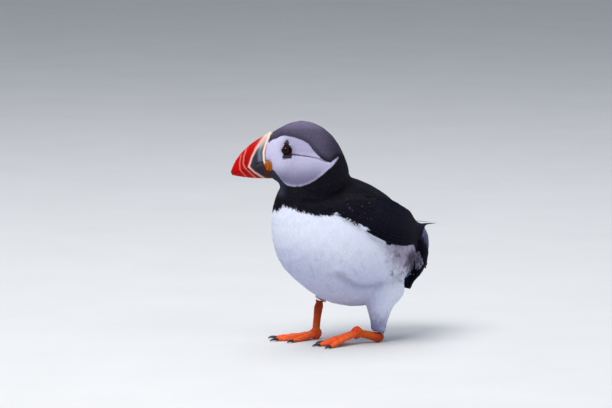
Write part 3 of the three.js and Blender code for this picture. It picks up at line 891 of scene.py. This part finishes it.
def faceTints(f, z, edge):  # lit from above: pale by the bill, grey over the eye and on the jowl
    # painted shade low on the cheek (jowl), over the eye (brow) and behind it (rear)
    jowl = graded("jowlShadeLow", z + 0.12 * (f - 5)) * graded("jowlShadeRear", f)
    rim = bell(edge + 0.7, 0.7) * (z < 2) * graded("rimFront", f)
    colour = layered(
        plain(colours["rear"], len(f)), (colours["face"], graded("faceFront", f)),
        (colours["brow"], graded("browShadeHigh", z) * graded("browShadeFront", f)),
        (colours["jowl"], jowl), (colours["rim"], shares["rim"] * rim))
    lid = lineDistance(markings["lid"], f, z, closed=True)
    # painted shade around the eye, above its middle
    around = shares["lid"] * bell(np.maximum(lid, 0), 3.4) * graded("lidShadeHigh", z)
    colour = mixIn(colour, colour * 0.62, around)
    # the crease behind the eye: its own dark line, with painted shade in the groove cut there
    line = lineDistance(markings["crease"], f, z)
    crease = bell(line, 0.55 + 0.35 * graded("creaseFront", f))
    crease = crease * (0.5 + 0.5 * graded("creaseRear", f))
    return layered(colour, (colours["lid"], graded("lidEdge", lid)), (colours["crease"], crease))


def headTints(p, f, z):
    blur = wobble(p, 1.2) * 0.15
    onCrown = graded("crownEdge", lineDistance(markings["crown"], f, z, closed=True) + blur)
    faceEdge = lineDistance(markings["face"], f, z, closed=True) + blur
    # painted light from above: the crown is paler on top
    crown = layered(
        plain(colours["crown"], len(p)), (colours["crownLitTop"], graded("crownLitHigh", z)),
        (colours["crownRear"], graded("crownRear", f)))
    dark = 0.45 + 0.4 * graded("napeRear", f) * graded("napeLow", z)
    crown = crown * (1 - dark * bell(faceEdge - 0.5, 3.0))[:, None]
    crown = crown * (1 + 0.14 * wobble(p, 1.1, 6.0))[:, None]
    return layered(
        plain(colours["black"], len(p)),
        (colours["chin"], graded("chinFront", f) * graded("chinLow", z)), (crown, onCrown),
        (faceTints(f, z, faceEdge), graded("faceEdge", faceEdge)))


def blackTints(p, fine, edge, onWing):  # the back and the tail, with a painted bluish sheen of sky light over the rump
    apart, back, high = np.abs(p[:, 0]), p[:, 1], p[:, 2]
    # sheen: where the painted sheen of sky light lies over the rump
    behind = 70.5 + (92 - high) * 0.45
    sheen = graded("sheenFront", back - behind + fine) * graded("sheenLow", high + fine)
    sheen = sheen * graded("sheenHigh", high)
    haze = graded("hazeHigh", high - edge) * graded("hazeFront", back)
    haze = haze * graded("hazeSide", np.abs(p[:, 0] - 14))
    return layered(
        plain(colours["back"], len(p)), (colours["black"], graded("neck", high)),
        (colours["rump"], shares["sheen"] * sheen * graded("sheenSide", apart + fine) * (1 - onWing)),
        (colours["haze"], shares["haze"] * haze * graded("hazeFleck", wobble(p, 2.1, 4.0))))


def whiteTints(base, p, white):  # what marks the white: painted shade on the belly and along the folds, streaks and the flank
    apart, back, high = np.abs(p[:, 0]), p[:, 1], p[:, 2]
    # painted shade low on the belly and towards the front, less over the thigh
    low = graded("belly", high + 0.5 * np.minimum(back + 32, 0))
    low = low * (1 - 0.85 * graded("bellyRear", back) * graded("bellySide", apart))
    base = mixIn(base, colours["shade"], shares["shade"] * low * white)
    # painted shade along the flank's fold
    fold = mirrorDistance(skinForm["flankFold"], p)
    base = mixIn(base, base * 0.68, shares["fold"] * bell(fold, 4.5) * white * (back < 40))
    streak = graded("streak", wobble(p * (1, 0.5, 0.35), 1.8, 9.0)) * graded("streakHigh", high)
    aside = np.maximum(graded("flankSide", apart), graded("flankRear", back)) * white
    patch = lineDistance(markings["flank"], back, high, closed=True)
    strands = wobble(p * (1, 0.45, 0.6), 1.5, 6.0)
    smudge = graded("smudge", patch + wobble(p, 3.2) * 4 + strands * 4)
    (coreBack, coreUp), (coreLong, coreTall) = flankCore
    core = np.hypot((back - coreBack) / coreLong, (high - coreUp) / coreTall)
    core = core + 0.25 * wobble(p, 2.8, 2.0) + 0.2 * strands
    dashes = np.minimum(*(lineDistance(markings[name], back, high) for name in ("dashes", "dots")))
    spot = graded("dash", wobble(p * (1, 1, 0.6), 1.5, 7.0))
    spot = spot * bell(dashes + 0.9 * wobble(p, 1.4, 8.0), 2.4)
    down = graded("downHigh", high + wobble(p, 3) * 2 + strands * 2)
    down = down * graded("downRear", back + wobble(p, 4) * 3)
    return layered(
        base, (colours["streak"], shares["streak"] * streak * graded("streakRear", back) * white),
        (colours["smudge"], (0.82 + 0.16 * strands) * smudge * aside),
        (colours["flank"], shares["flank"] * graded("core", core) * aside),
        (colours["dash"], shares["dash"] * spot * aside), (colours["thigh"], shares["thigh"] * down))


def tints(points, node):  # the colour of the plumage at any spot of the body
    p = np.asarray(points, float)
    f, z, left = toHead(p)
    onWing = onFlesh(node, "wing")
    fine = wobble(p, 1.5) * 0.6 + wobble(p, 3.4, 3.0) * 0.7
    ragged = (fine + wobble(p, 7, 5.0) * 0.5) * (1 - 0.6 * graded("wingSide", np.abs(p[:, 0])))
    edge = blackEdge(p) + ragged
    rump = np.interp(p[:, 2], markings["rumpHeight"], markings["rumpStart"]) + 0.3 * fine
    white = graded("whiteEdge", p[:, 2] - edge) * graded("rumpEdge", p[:, 1] - rump)
    white = white * (1 - onWing * graded("wingFront", p[:, 1] + fine))
    base = whiteTints(mixIn(blackTints(p, fine, edge, onWing), colours["white"], white), p, white)
    near = (z > -30) & (np.hypot(f, left) < 60)
    if near.any():
        head = headTints(p[near], f[near], z[near])
        base[near] = mixIn(base[near], head, graded("headLow", z[near]))
    return base


# ---- the skin ----

flesh = ["head", "neck", "trunk", "thigh_left", "thigh_right", "wing_left", "wing_right", "tail"]


def onFlesh(node, part):  # whether each point lies on a solid whose name starts with this
    return np.isin(node, [number for number, name in enumerate(flesh) if name.startswith(part)])


skinForm = {
    "voxel": 1.1, "swell": 0.45, "evenings": 36, "headEvenings": 18, "depth": 0.8, "headDepth": 0.5,
    "lid": (3.7, 1.2),
    "wingTrim": ((0, 62, 97), (0, 1, 0)), "tailTrim": ((0, 60, 41), (0, -0.3, -1)),
    "flankFold": [(33.9, -31.2, 63.5), (34.5, -24.2, 58.6), (33.9, -16.3, 53.6), (34.5, -8.2, 51.4),
                  (35.2, 1.9, 50.7), (37.4, 11, 51.6), (40, 19.8, 53.9), (32.6, 35.6, 54.7)],
    # loose feathers behind the left thigh: middle, reach, way out, height
    "thighDown": ((26, 40, 41), (17, 15, 20), (0.1, 0.96, -0.2), 6.6),
    "flankLine": [(-31, -16, 2, 20, 36), (63, 53.6, 50.7, 53.9, 54.7)],  # back, up
    "rump": (8, 80, 86),
    "neckFold": [(14, 0, 148), (22.3, -10.8, 145), (28.4, -18.8, 138.6), (30.9, -27.1, 133.4),
                 (30.5, -38.3, 129.5), (27.1, -48.8, 126.6), (20.9, -57.5, 127.2)],
}


skinHeights = {  # height and width of what stands out of the skin or is cut into it
    "flankPlump": (0.9, 4), "flankGroove": (-1.3, 1.7), "neckGroove": (-1.5, 2.4),
    "eyeLine": (-0.5, 0.9), "brow": (0.75, 0.9), "rump": (1.9, 8),
}


def fleshTree():
    points, faces, owner = [], [], []
    for number, node in enumerate(flesh):
        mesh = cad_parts[node].data
        start = len(points)
        points += [v.co for v in mesh.vertices]
        faces += [[start + v for v in face.vertices] for face in mesh.polygons]
        owner += [number] * len(mesh.polygons)
    return BVHTree.FromPolygons(points, faces), np.array(owner)


fleshSurface, fleshOwner = fleshTree()


def nodeAt(rowPoints):  # which solid each point lies on
    return fleshOwner[[fleshSurface.find_nearest(Vector(p))[2] for p in rowPoints]]


def evened(piece, share, rounds, factors=(0.55, -0.58)):  # evens seams out and keeps the volume
    count = len(piece.data.vertices)
    a, b = readAll(piece.data.edges, "vertices", 2, int).T
    meets = np.bincount(np.concatenate((a, b)), minlength=count)
    points = spots(piece)
    for factor in factors * rounds:
        total = np.stack([np.bincount(a, points[b, k], count) + np.bincount(b, points[a, k], count)
                          for k in range(3)], 1)
        points = points + (total / meets[:, None] - points) * factor * share[:, None]
    move(piece, points)


def coatDepth(p):
    depth = skinForm["depth"] + (skinForm["headDepth"] - skinForm["depth"]) * ease(132, 150, p[:, 2])
    return depth * (1 - 0.4 * ease(24, 12, p[:, 2]))


def mirrorDistance(line, p):
    return lineDistance(line, np.abs(p[:, 0]), p[:, 1], p[:, 2])


def lidRing(side, sign):
    major, minor = skinForm["lid"]
    lid = primitive("lid", "torus", major_radius=major + minor, minor_radius=minor,
                    major_segments=48, minor_segments=12)
    stand(lid, sign, middleOf(f"eye_ring_{side}") - gazeAxes(sign)[2] * 0.75)
    return lid


def raised(name, distance):
    height, width = skinHeights[name]
    return height * bell(distance, width)


def skinRelief(p):  # how far each point of the skin moves out, under the coat
    f, z, left = toHead(p)
    onHead = ease(-28, -20, z)
    fold = mirrorDistance(skinForm["flankFold"], p)
    above = ease(-2, 2, p[:, 2] - np.interp(p[:, 1], *skinForm["flankLine"]))
    flank = raised("flankPlump", fold - 4) * above + raised("flankGroove", fold)
    eyeLine = raised("eyeLine", lineDistance(markings["crease"], f, z)) * (np.abs(left) > 8)
    cheek = 0.4 * ease(1.2, 0.3, np.hypot((f - 6) / 20, (z + 4) / 11))
    brow = raised("brow", np.hypot(f - 15.3, z - 12.2) - 4.3) * ease(11, 15, z)
    rump = np.linalg.norm(np.column_stack((np.abs(p[:, 0]), p[:, 1:])) - skinForm["rump"], axis=1)
    return (flank * (p[:, 1] < 45) + raised("neckGroove", mirrorDistance(skinForm["neckFold"], p))
            + (eyeLine + cheek + brow) * onHead + raised("rump", rump)
            - coatDepth(p) - skinForm["swell"])


def makeSkin():
    trim = {"wing_left": skinForm["wingTrim"], "wing_right": skinForm["wingTrim"],
            "tail": skinForm["tailTrim"]}
    skin = copyNodes("puffin_skin", flesh, skinForm["swell"], trim)
    pick(skin, *(lidRing(side, sign) for side, sign in sides.items()))
    bpy.ops.object.join()
    apply(skin, "REMESH", mode="VOXEL", voxel_size=skinForm["voxel"] / 1000)
    skin.data.shade_smooth()
    f, z, left = toHead(toBird(spots(skin)))
    feature = ease(11, 6, np.hypot(f - 15.3, z - 11)) * (np.abs(left) > 6)
    evened(skin, 1 - 0.65 * feature, skinForm["evenings"])
    evened(skin, (1 - feature) * ease(-24, -14, z), skinForm["headEvenings"], (0.6,))
    raiseBy(skin, skinRelief(toBird(spots(skin))))
    middle, reach, way, height = (np.array(value) for value in skinForm["thighDown"])
    p = toBird(spots(skin))
    behind = ease(1, 0.15, np.linalg.norm((p - middle) / reach, axis=1))
    behind = behind * ease(-0.2, 0.6, normals(skin) @ way)
    move(skin, toRow(p + way * (height * behind)[:, None]))
    editAll(skin, (bpy.ops.mesh.quads_convert_to_tris, {}),
            (bpy.ops.uv.smart_project, {"angle_limit": math.radians(70), "island_margin": 0.002}))
    skin.data.uv_layers[0].name = "OFBake"
    p = spots(skin)
    paint(skin, tints(toBird(p), nodeAt(p)) * 0.9)
    return skin


skin = makeSkin()
skinTree = BVHTree.FromObject(skin, bpy.context.evaluated_depsgraph_get())
print("skin", len(skin.data.polygons), "faces")

# ---- small feathers ----

napeCut = (unit(np.array((0.08, -0.2, 1.0))), np.array((0, -32, 146.0)))
collarCut = (unit(np.array((0, -0.34, 1.0))), np.array((0, -34, 127.0)))
kinds = {  # length, width, spacing, lift of the tip, roundness of the tip, arch across
    "face": (2.6, 0.8, 0.46, 0.12, 0.5, 0.05),
    "crown": (3.2, 0.95, 0.55, 0.17, 0.5, 0.06),
    "neck": (5.0, 1.4, 0.78, 0.24, 0.4, 0.07),
    "mantle": (6.6, 2.5, 1.15, 0.28, 0.85, 0.06),
    "breast": (7.8, 1.7, 0.86, 0.1, 0.3, 0.015),
    "covert": (7.2, 2.9, 1.3, 0.26, 0.9, 0.05),
    "thigh": (6.8, 1.4, 0.84, 0.2, 0.3, 0.03),
    "rump": (6.2, 1.8, 1.05, 0.28, 0.5, 0.06),
}
spread = {  # how much single feathers differ: of their size, lift, way and colour, and how many dark ones get a painted glint
    "way": 0.05, "length": (0.12, 0.7, 1.3), "width": (0.10, 0.7, 1.3), "lift": (0.2, 0.5, 1.6),
    "tint": 0.03, "glints": 0.07, "loose": 0.65,
}
kindNames = list(kinds)
kindTable = np.array(list(kinds.values()))
wingLine = [(32, -43, 122), (39.5, -25, 122), (44.5, -5, 117), (45.5, 16, 109),
            (40, 36, 102.5), (28, 57, 99), (12, 79, 97.5), (4, 95.5, 96.5)]


def kindOf(p, node):
    f, z, left = toHead(p)
    index = kindNames.index
    edge = blackEdge(p)
    kind = np.where(p[:, 2] > edge, index("mantle"), index("breast"))
    kind = np.where((p - collarCut[1]) @ collarCut[0] > -5, index("neck"), kind)
    kind = np.where((p - napeCut[1]) @ napeCut[0] > 0, index("crown"), kind)
    face = lineDistance(markings["face"], f, z, closed=True) < 0.8
    kind = np.where(face & (z > -22) & (p[:, 2] > 130), index("face"), kind)
    covert = onFlesh(node, "wing") & (p[:, 2] > edge - 2) & (p[:, 1] > -32)
    kind = np.where(covert, index("covert"), kind)
    kind = np.where(onFlesh(node, "thigh"), index("thigh"), kind)
    return np.where(onFlesh(node, "tail") | (p[:, 1] > 64), index("rump"), kind)


def wingPlace(p):  # how far along the wing's line each point is, and the line's way there
    u = np.linspace(0, 1, 60)
    line = through(wingLine, u)
    spot = np.column_stack((np.abs(p[:, 0]), p[:, 1:]))
    near = np.linalg.norm(spot[:, None] - line[None], axis=2).argmin(1)
    way = unit(np.gradient(line, axis=0))[near]
    way[:, 0] *= np.where(p[:, 0] < 0, -1, 1)
    return u[near], way


def lie(p, normal, node):  # the way the feathers lie
    fromBill = unit(p - fromHead(34, 3, 0))
    headShare = ease(-9, 10, (p - napeCut[1]) @ napeCut[0])[:, None]
    trunkShare = ease(10, -22, (p - collarCut[1]) @ collarCut[0])[:, None]
    way = fromBill * headShare + np.array((0, 0.12, -1.0)) * (1 - headShare)
    way = way * (1 - trunkShare) + np.array((0, 0.72, -0.69)) * trunkShare
    way = np.where(onFlesh(node, "wing")[:, None], wingPlace(p)[1] - (0, 0, 0.12), way)
    low = (ease(50, 34, p[:, 2]) * onFlesh(node, "thigh"))[:, None]
    way = way * (1 - low) + np.array((0, 0.1, -1.0)) * low
    way = np.where(onFlesh(node, "tail")[:, None], np.array((0, 0.15, -1.0)), way)
    return unit(way - (way * normal).sum(1, keepdims=True) * normal)


def scatter():  # spreads the roots over the skin, evenly for each kind of feather
    mesh = skin.data
    mesh.calc_loop_triangles()
    count = len(mesh.loop_triangles)
    corners, loops = (readAll(mesh.loop_triangles, field, 3, int) for field in ("vertices", "loops"))
    place, around = spots(skin), normals(skin)
    unwrap = readAll(mesh.uv_layers["OFBake"].data, "uv", 2)
    a, b, c = (place[corners[:, k]] for k in range(3))
    area = np.linalg.norm(np.cross(b - a, c - a), axis=1) / 2 * 1e6
    middle = (a + b + c) / 3
    node = nodeAt(middle)
    kind = kindOf(toBird(middle), node)
    spacing = kindTable[kind, 2]
    weight = area / spacing ** 2
    total = int(weight.sum() * 2.2)
    chosen = dice.choice(count, total, p=weight / weight.sum())
    u, v = dice.random((2, total))
    flip = u + v > 1
    u, v = np.where(flip, 1 - u, u), np.where(flip, 1 - v, v)
    shares = np.stack((1 - u - v, u, v), 1)[:, :, None]
    root = (place[corners[chosen]] * shares).sum(1)
    normal = unit((around[corners[chosen]] * shares).sum(1))
    patch = (unwrap[loops[chosen]] * shares).sum(1)
    reach = spacing[chosen] / 1000
    tree = treeOf(root)
    gone = np.zeros(total, bool)
    kept = []
    for index in range(total):
        if not gone[index]:
            kept.append(index)
            for _, other, _ in tree.find_range(root[index], reach[index]):
                gone[other] = True
    kept = np.array(kept)
    return root[kept], normal[kept], patch[kept], kind[chosen][kept], node[chosen][kept]


def bare(p, node):  # spots without small feathers: the eyes, the bill's base, the wing and tail vanes
    f, z, left = toHead(p)
    eye = lineDistance(markings["bareEye"], f, z, closed=True) < 0.1
    plates = (np.abs(f - 15.0) < 3.4) & (np.abs(z - 6.6) < 1.0)
    bill = (f > np.interp(z, *markings["billBase"])) & (z > -17)
    mouth = np.hypot((f - 30.8) / 2.4, (z + 1.4) / 3.8) < 1
    wingVanes = onFlesh(node, "wing") & (wingPlace(p)[0] > 0.5)
    tailVanes = onFlesh(node, "tail") & (p[:, 2] < 56)
    return ((eye | plates) & (z > 0)) | bill | mouth | wingVanes | tailVanes


stations = np.array((0.28, 0.62, 0.88))
featherPlan = [(0, 1, 2), (0, 2, 3), (0, 3, 1)]
for k in (1, 4):
    for i, j in ((0, 1), (1, 2), (2, 0)):
        featherPlan += [(k + i, k + 3 + i, k + 3 + j), (k + i, k + 3 + j, k + j)]
featherPlan = np.array(featherPlan + [(7, 10, 8), (8, 10, 9), (9, 10, 7)])


def varied(count, width, low, high):
    return dice.normal(1, width, count).clip(low, high)


def featherPieces(root, normal, patch, kind, node):
    keep = ~bare(toBird(root), node)
    root, normal, patch, kind, node = (part[keep] for part in (root, normal, patch, kind, node))
    count = len(root)
    bird = toBird(root)
    way = lie(bird, normal, node)
    way = unit(way + np.cross(normal, way) * dice.normal(0, spread["way"], (count, 1)))
    length, width, _, lift, blunt, arch = kindTable[kind].T
    length = length / 1000 * varied(count, *spread["length"])
    width = width / 1000 * varied(count, *spread["width"])
    lift = lift / 1000 * varied(count, *spread["lift"])
    hang = ease(13, 7, bird[:, 2] - np.where(bird[:, 0] > 0, 6.5, 28))
    hang = hang * (kind == kindNames.index("thigh"))
    length = length * (1 + np.where(bird[:, 0] > 0, 0.2, -0.25) * hang)
    jitter = dice.normal(0, 1, (count, 3)) * (0.12 + 0.4 * ease(145, 130, bird[:, 2]))[:, None]
    none = np.zeros(count)
    reach = np.column_stack((0.74 - 0.1 * (1 - blunt), none + 1, 0.45 + 0.4 * blunt, none))
    rings, shades = [root - normal * 0.0003], [tints(bird + jitter, node)]
    last, before = root, 0
    for t, w in zip((*stations, 1.0), reach.T):
        aim = last + way * (length * (t - before))[:, None]
        found = [skinTree.find_nearest(Vector(p)) for p in aim]
        ground = np.array([hit[0] for hit in found])
        facing = np.array([hit[1] for hit in found])
        loose = (spread["loose"] * hang * ease(0.3, 0.9, t))[:, None]
        ground = ground * (1 - loose) + aim * loose
        way = unit(way - (way * facing).sum(1, keepdims=True) * facing * (1 - loose))
        sideways = unit(np.cross(facing, way))
        centre = ground + facing * (lift * t ** 1.2)[:, None]
        half = (width * w / 2)[:, None]
        shade = tints(toBird(ground) + jitter, nodeAt(ground))
        if t < 1:
            rise = facing * half * arch[:, None]
            rings += [centre - sideways * half - rise * 1.5, centre + rise,
                      centre + sideways * half - rise * 1.5]
            shades += [shade] * 3
        else:
            rings.append(centre)
            shades.append(shade)
        last, before = ground, t
    points, tint = np.stack(rings, 1), np.stack(shades, 1)
    pale = ease(0.2, 0.5, tint[:, 4].mean(1))[:, None, None]
    change = dice.normal(0, spread["tint"], (count, 1, 1)).clip(-0.1, 0.1)
    tint = tint * (1 + change * (1 - 0.5 * pale))
    # painted shade towards each feather's root, under the feathers that overlap it, and a faint painted
    # lightening at the tip
    rootShade = np.array((0.1, *[0.04] * 3, *[0.0] * 6, -0.02))[None, :, None]
    tint = tint * (1 - rootShade * (1 - 0.75 * pale))
    # painted glints of light: some dark feathers get a bluish tip
    dark = tint[:, 4].mean(1) < 0.03
    glint = dark & (dice.random(count) < spread["glints"]) & (kind != kindNames.index("neck"))
    tint[glint, 7:] = mixIn(tint[glint, 7:], colours["glint"], dice.random((glint.sum(), 1)) * 0.7)
    along = np.array((0, *np.repeat(stations, 3), 1))
    beside = np.array((0, *([-1, 0, 1] * 3), 0)) * 0.9
    return points, tint, patch, kind, np.stack((beside, along), 1)


def coatPiece(name, chosen, data):
    points, tint, patch, kind, ride = data
    index = np.flatnonzero(chosen)
    firsts = np.arange(len(index)) * points.shape[1]
    faces = (featherPlan[None] + firsts[:, None, None]).reshape(-1, 3)
    piece = meshPiece(name, points[index].reshape(-1, 3), faces)
    paint(piece, tint[index].reshape(-1, 3))
    bake = (patch[index][:, None, :] + ride[None] * (0.0014, 0.003) - (0, 0.0015)).reshape(-1, 2)
    vane = np.broadcast_to(ride, (len(index), *ride.shape)).reshape(-1, 2)
    unfold(piece, faces.ravel(), OFBake=bake, vane=vane)
    return piece


def plumageFinish(name, roughness, sheen, sheenTint, specular, barbs, relief, glintTint=None):
    finish = Finish(name, {
        "Specular IOR Level": specular, "Sheen Weight": sheen,
        "Sheen Roughness": 0.4, "Sheen Tint": (*sheenTint, 1),
    })
    vane = finish.add("UVMap", {"uv_map": "vane"})
    rib = finish.add("TexWave", {"bands_direction": "DIAGONAL"},
                     {"Vector": vane, "Scale": barbs, "Distortion": 1.5, "Detail": 1.0})
    colour = mottledTint(finish, 420, 0.92)
    if glintTint is not None:
        # painted glints: soft bluish spots of light lightened into the plumage
        glintSpots = finish.ramp(finish.noise(760, 2), (0.6, 0.0), (0.7, 0.8))
        colour = finish.blend(glintSpots, colour, (*glintTint, 1), "LIGHTEN")
    finish.drive(Base_Color=colour, Roughness=roughness + 0.12 * rib)
    finish.bump(rib, relief, 0.0001)
    return finish


coatFinishes = {
    "white_plumage": plumageFinish("white_plumage", 0.8, 0.04, (0.9, 0.94, 1), 0.08, 14, 0.07),
    "black_plumage": plumageFinish("black_plumage", 0.55, 0.0, (0.6, 0.7, 1.0), 0.06, 14, 0.2,
                                   tone(36, 35, 58)),
    "grey_plumage": plumageFinish("grey_plumage", 0.75, 0.02, (0.9, 0.92, 1.0), 0.1, 12, 0.12),
}
coats = {  # piece: kinds, side of the trunk, slot
    "coat_face": (("face",), 0, "grey_plumage"),
    "coat_crown": (("crown",), 0, "grey_plumage"),
    "coat_neck": (("neck",), 0, "black_plumage"),
    "coat_mantle": (("mantle", "covert", "rump"), 0, "black_plumage"),
    "coat_breast_left": (("breast",), 1, "white_plumage"),
    "coat_breast_right": (("breast",), -1, "white_plumage"),
    "coat_thighs": (("thigh",), 0, "white_plumage"),
}


def makeCoat():
    data = featherPieces(*scatter())
    left = toBird(data[0][:, 0])[:, 0] > 0
    for name, (members, side, slot) in coats.items():
        chosen = np.isin(data[3], [kindNames.index(m) for m in members])
        if side:
            chosen &= left == (side > 0)
        piece = coatPiece(name, chosen, data)
        settle(piece, coatFinishes[slot], slot)
        print(name, chosen.sum(), "feathers", len(piece.data.polygons), "faces")


makeCoat()
settle(skin, grainyFinish("puffin_skin"), "white_plumage", *flesh)
print("coat is laid")

# ---- flight and tail feathers ----

wing = {
    "halves": (2, 7.8, 12.5, 15.2, 17, 18.1, 18.5, 18, 16.5, 13, 7.6, 3, 2.2, 1.6, 0.8),
    "thick": (1.5, 2.4, 2.6, 2.6, 2.2, 1.6, 1, 0.5),
    "wrap": (0.01, 0.011, 0.011, 0.011, 0.009, 0.003, 0, 0),
    # rows: count, roots and tips along the wing, places across it, width, height over the solid
    "rows": {
        "primary": (9, (0.46, 0.52), (1.0, 0.79), (-0.5, 0.5), 5.0, -1.1),
        "secondary": (12, (0.40, 0.45), (0.74, 0.69), (-0.93, 0.9), 5.6, -0.85),
        "greaterCovert": (14, (0.34, 0.38), (0.60, 0.56), (-0.95, 0.95), 4.6, -0.6),
        "medianCovert": (15, (0.28, 0.32), (0.47, 0.45), (-0.95, 0.95), 4.2, -0.4),
    },
}
tail = {
    "count": 18, "widths": (8.5, 7.5), "fanning": 1.15,
    "roots": ((0, 71, 86), (11, 68, 59)), "tips": ((1, 84.5, 59), (10.5, 58.5, 39.5)),
}
vaneSteps = 24


def wingSpot(u, v, height, sign):
    line = through(wingLine, u)
    tangent = unit(through(wingLine, u + 0.01) - through(wingLine, u - 0.01))
    hub = np.stack((np.zeros_like(u), -16 + 56 * u, 104 - 26 * u), -1)
    out = unit(line - hub)
    top = ease(0.66, 0.85, u)[..., None]
    out = out * (1 - top) + np.array((0.1, 0, 1.0)) * top
    chord = unit(np.cross(out, tangent))
    normal = unit(np.cross(tangent, chord))
    across = v * through(wing["halves"], u)
    thick = through(wing["thick"], u) * (1 - 0.7 * np.abs(v) ** 3)
    lifted = thick + height - through(wing["wrap"], u) * across ** 2
    spot = line + chord * across[..., None] + normal * lifted[..., None]
    return spot * (sign, 1, 1), normal * (sign, 1, 1)


def vaneMesh(paths, outs, widths, pointed):  # closed vanes along their paths, with a raised shaft
    count, steps = paths.shape[:2]
    t = np.linspace(0, 1, steps)
    tangent = unit(np.gradient(paths, axis=1))
    sideways = unit(np.cross(outs, tangent))
    shape = np.clip(np.minimum(1, 0.35 + 3.2 * t) * (1 - ease(1 - pointed, 1.0, t)) ** 0.6, 0.02, 1)
    rate, start = dice.uniform(30, 60, (count, 1)), dice.uniform(0, 6, (count, 1))
    fray = 1 + 0.05 * np.sin(t[None] * rate + start)
    half = (widths / 2 * shape[None] * fray)[..., None]
    ring = np.stack((
        paths - sideways * half - outs * half * 0.07,
        paths + outs * (0.05 + 0.05 * (1 - t))[None, :, None],
        paths + sideways * half - outs * half * 0.07,
        paths - outs * (0.08 + half * 0.06)), 2)
    points = ring.reshape(count, steps * 4, 3)
    plan = []
    for k in range(steps - 1):
        for i in range(4):
            j = (i + 1) % 4
            plan += [(4 * k + i, 4 * k + j, 4 * k + 4 + j), (4 * k + i, 4 * k + 4 + j, 4 * k + 4 + i)]
    last = 4 * steps - 4
    plan += [(0, 2, 1), (0, 3, 2), (last, last + 1, last + 2), (last, last + 2, last + 3)]
    faces = (np.array(plan)[None] + (np.arange(count) * steps * 4)[:, None, None]).reshape(-1, 3)
    across = np.tile((-0.9, 0, 0.9, 0), steps)
    return points.reshape(-1, 3), faces, np.stack((across, np.repeat(t * 4, 4)), 1)


def vanePiece(name, paths, outs, widths, pointed, slot, nodes=()):
    points, faces, ride = vaneMesh(paths, outs, widths, pointed)
    piece = meshPiece(name, toRow(points), faces)
    faceOut(piece)
    count = len(paths)
    shade = colours["back"] * dice.normal(1.0, 0.08, (count, 1))
    edge = np.abs(ride[:, 0]) > 0.5
    tint = np.repeat(shade, len(ride), 0) * np.tile(np.where(edge, 1.15, 0.97), count)[:, None]
    paint(piece, tint)
    cell = (ride - (-1, 0)) / (2 * count, 4)
    bake = np.concatenate([cell * (0.94, 0.98) + (k / count, 0.01) for k in range(count)])
    corners = np.array([v for face in piece.data.polygons for v in face.vertices])
    unfold(piece, corners, OFBake=bake, vane=np.tile(ride, (count, 1)))
    settle(piece, coatFinishes[slot], slot)
    print(name, count, "feathers", len(piece.data.polygons), "faces")


def makeFlightFeathers():
    t = np.linspace(0, 1, vaneSteps)
    for side, sign in sides.items():
        paths, outs, widths = [], [], []
        for row, (count, roots, tips, across, width, height) in wing["rows"].items():
            for k in range(count):
                share = k / (count - 1)
                start = roots[0] + (roots[1] - roots[0]) * share
                end = tips[0] + (tips[1] - tips[0]) * share + dice.normal(0, 0.004)
                v = across[0] + (across[1] - across[0]) * share
                u = start + (end - start) * t
                lift = height + 0.4 * t ** 1.5 + 0.4 * share - 0.7 * ease(0.2, 0.0, t)
                spot, out = wingSpot(u, v + 0 * u, lift, sign)
                paths.append(spot)
                outs.append(out)
                widths.append(np.minimum(width, through(wing["halves"], u) * 0.8 + 0.5))
        vanePiece(f"flight_feathers_{side}", np.array(paths), np.array(outs), np.array(widths),
                  0.16, "black_plumage")


def makeTailFeathers():
    t = np.linspace(0, 1, vaneSteps)[:, None]
    paths, outs, widths = [], [], []
    for k in range(tail["count"]):
        place = (k + 0.5) / tail["count"] * 2 - 1
        share = abs(place)
        root, tip = (
            (np.array(tail[ends][0]) * (1 - part) + np.array(tail[ends][1]) * part)
            * (np.sign(place), 1, 1)
            for ends, part in (("roots", share), ("tips", share ** tail["fanning"])))
        tip = tip + (1.5, 0, 0) + dice.normal(0, 0.7, 3)
        bend = (root + tip) / 2 + (0, 2.5, 1.5)
        path = bent((root, bend, tip), t[:, 0])
        paths.append(path)
        outs.append(np.tile(unit(np.array((place * 1.3, 0.9, 0.45 - 0.2 * share))), (len(t), 1)))
        widths.append(np.full(vaneSteps, tail["widths"][0] * (1 - share) + tail["widths"][1] * share))
    vanePiece("tail_feathers", np.array(paths), np.array(outs), np.array(widths), 0.12, "black_plumage")


makeFlightFeathers()
makeTailFeathers()
print("flight and tail feathers are laid")
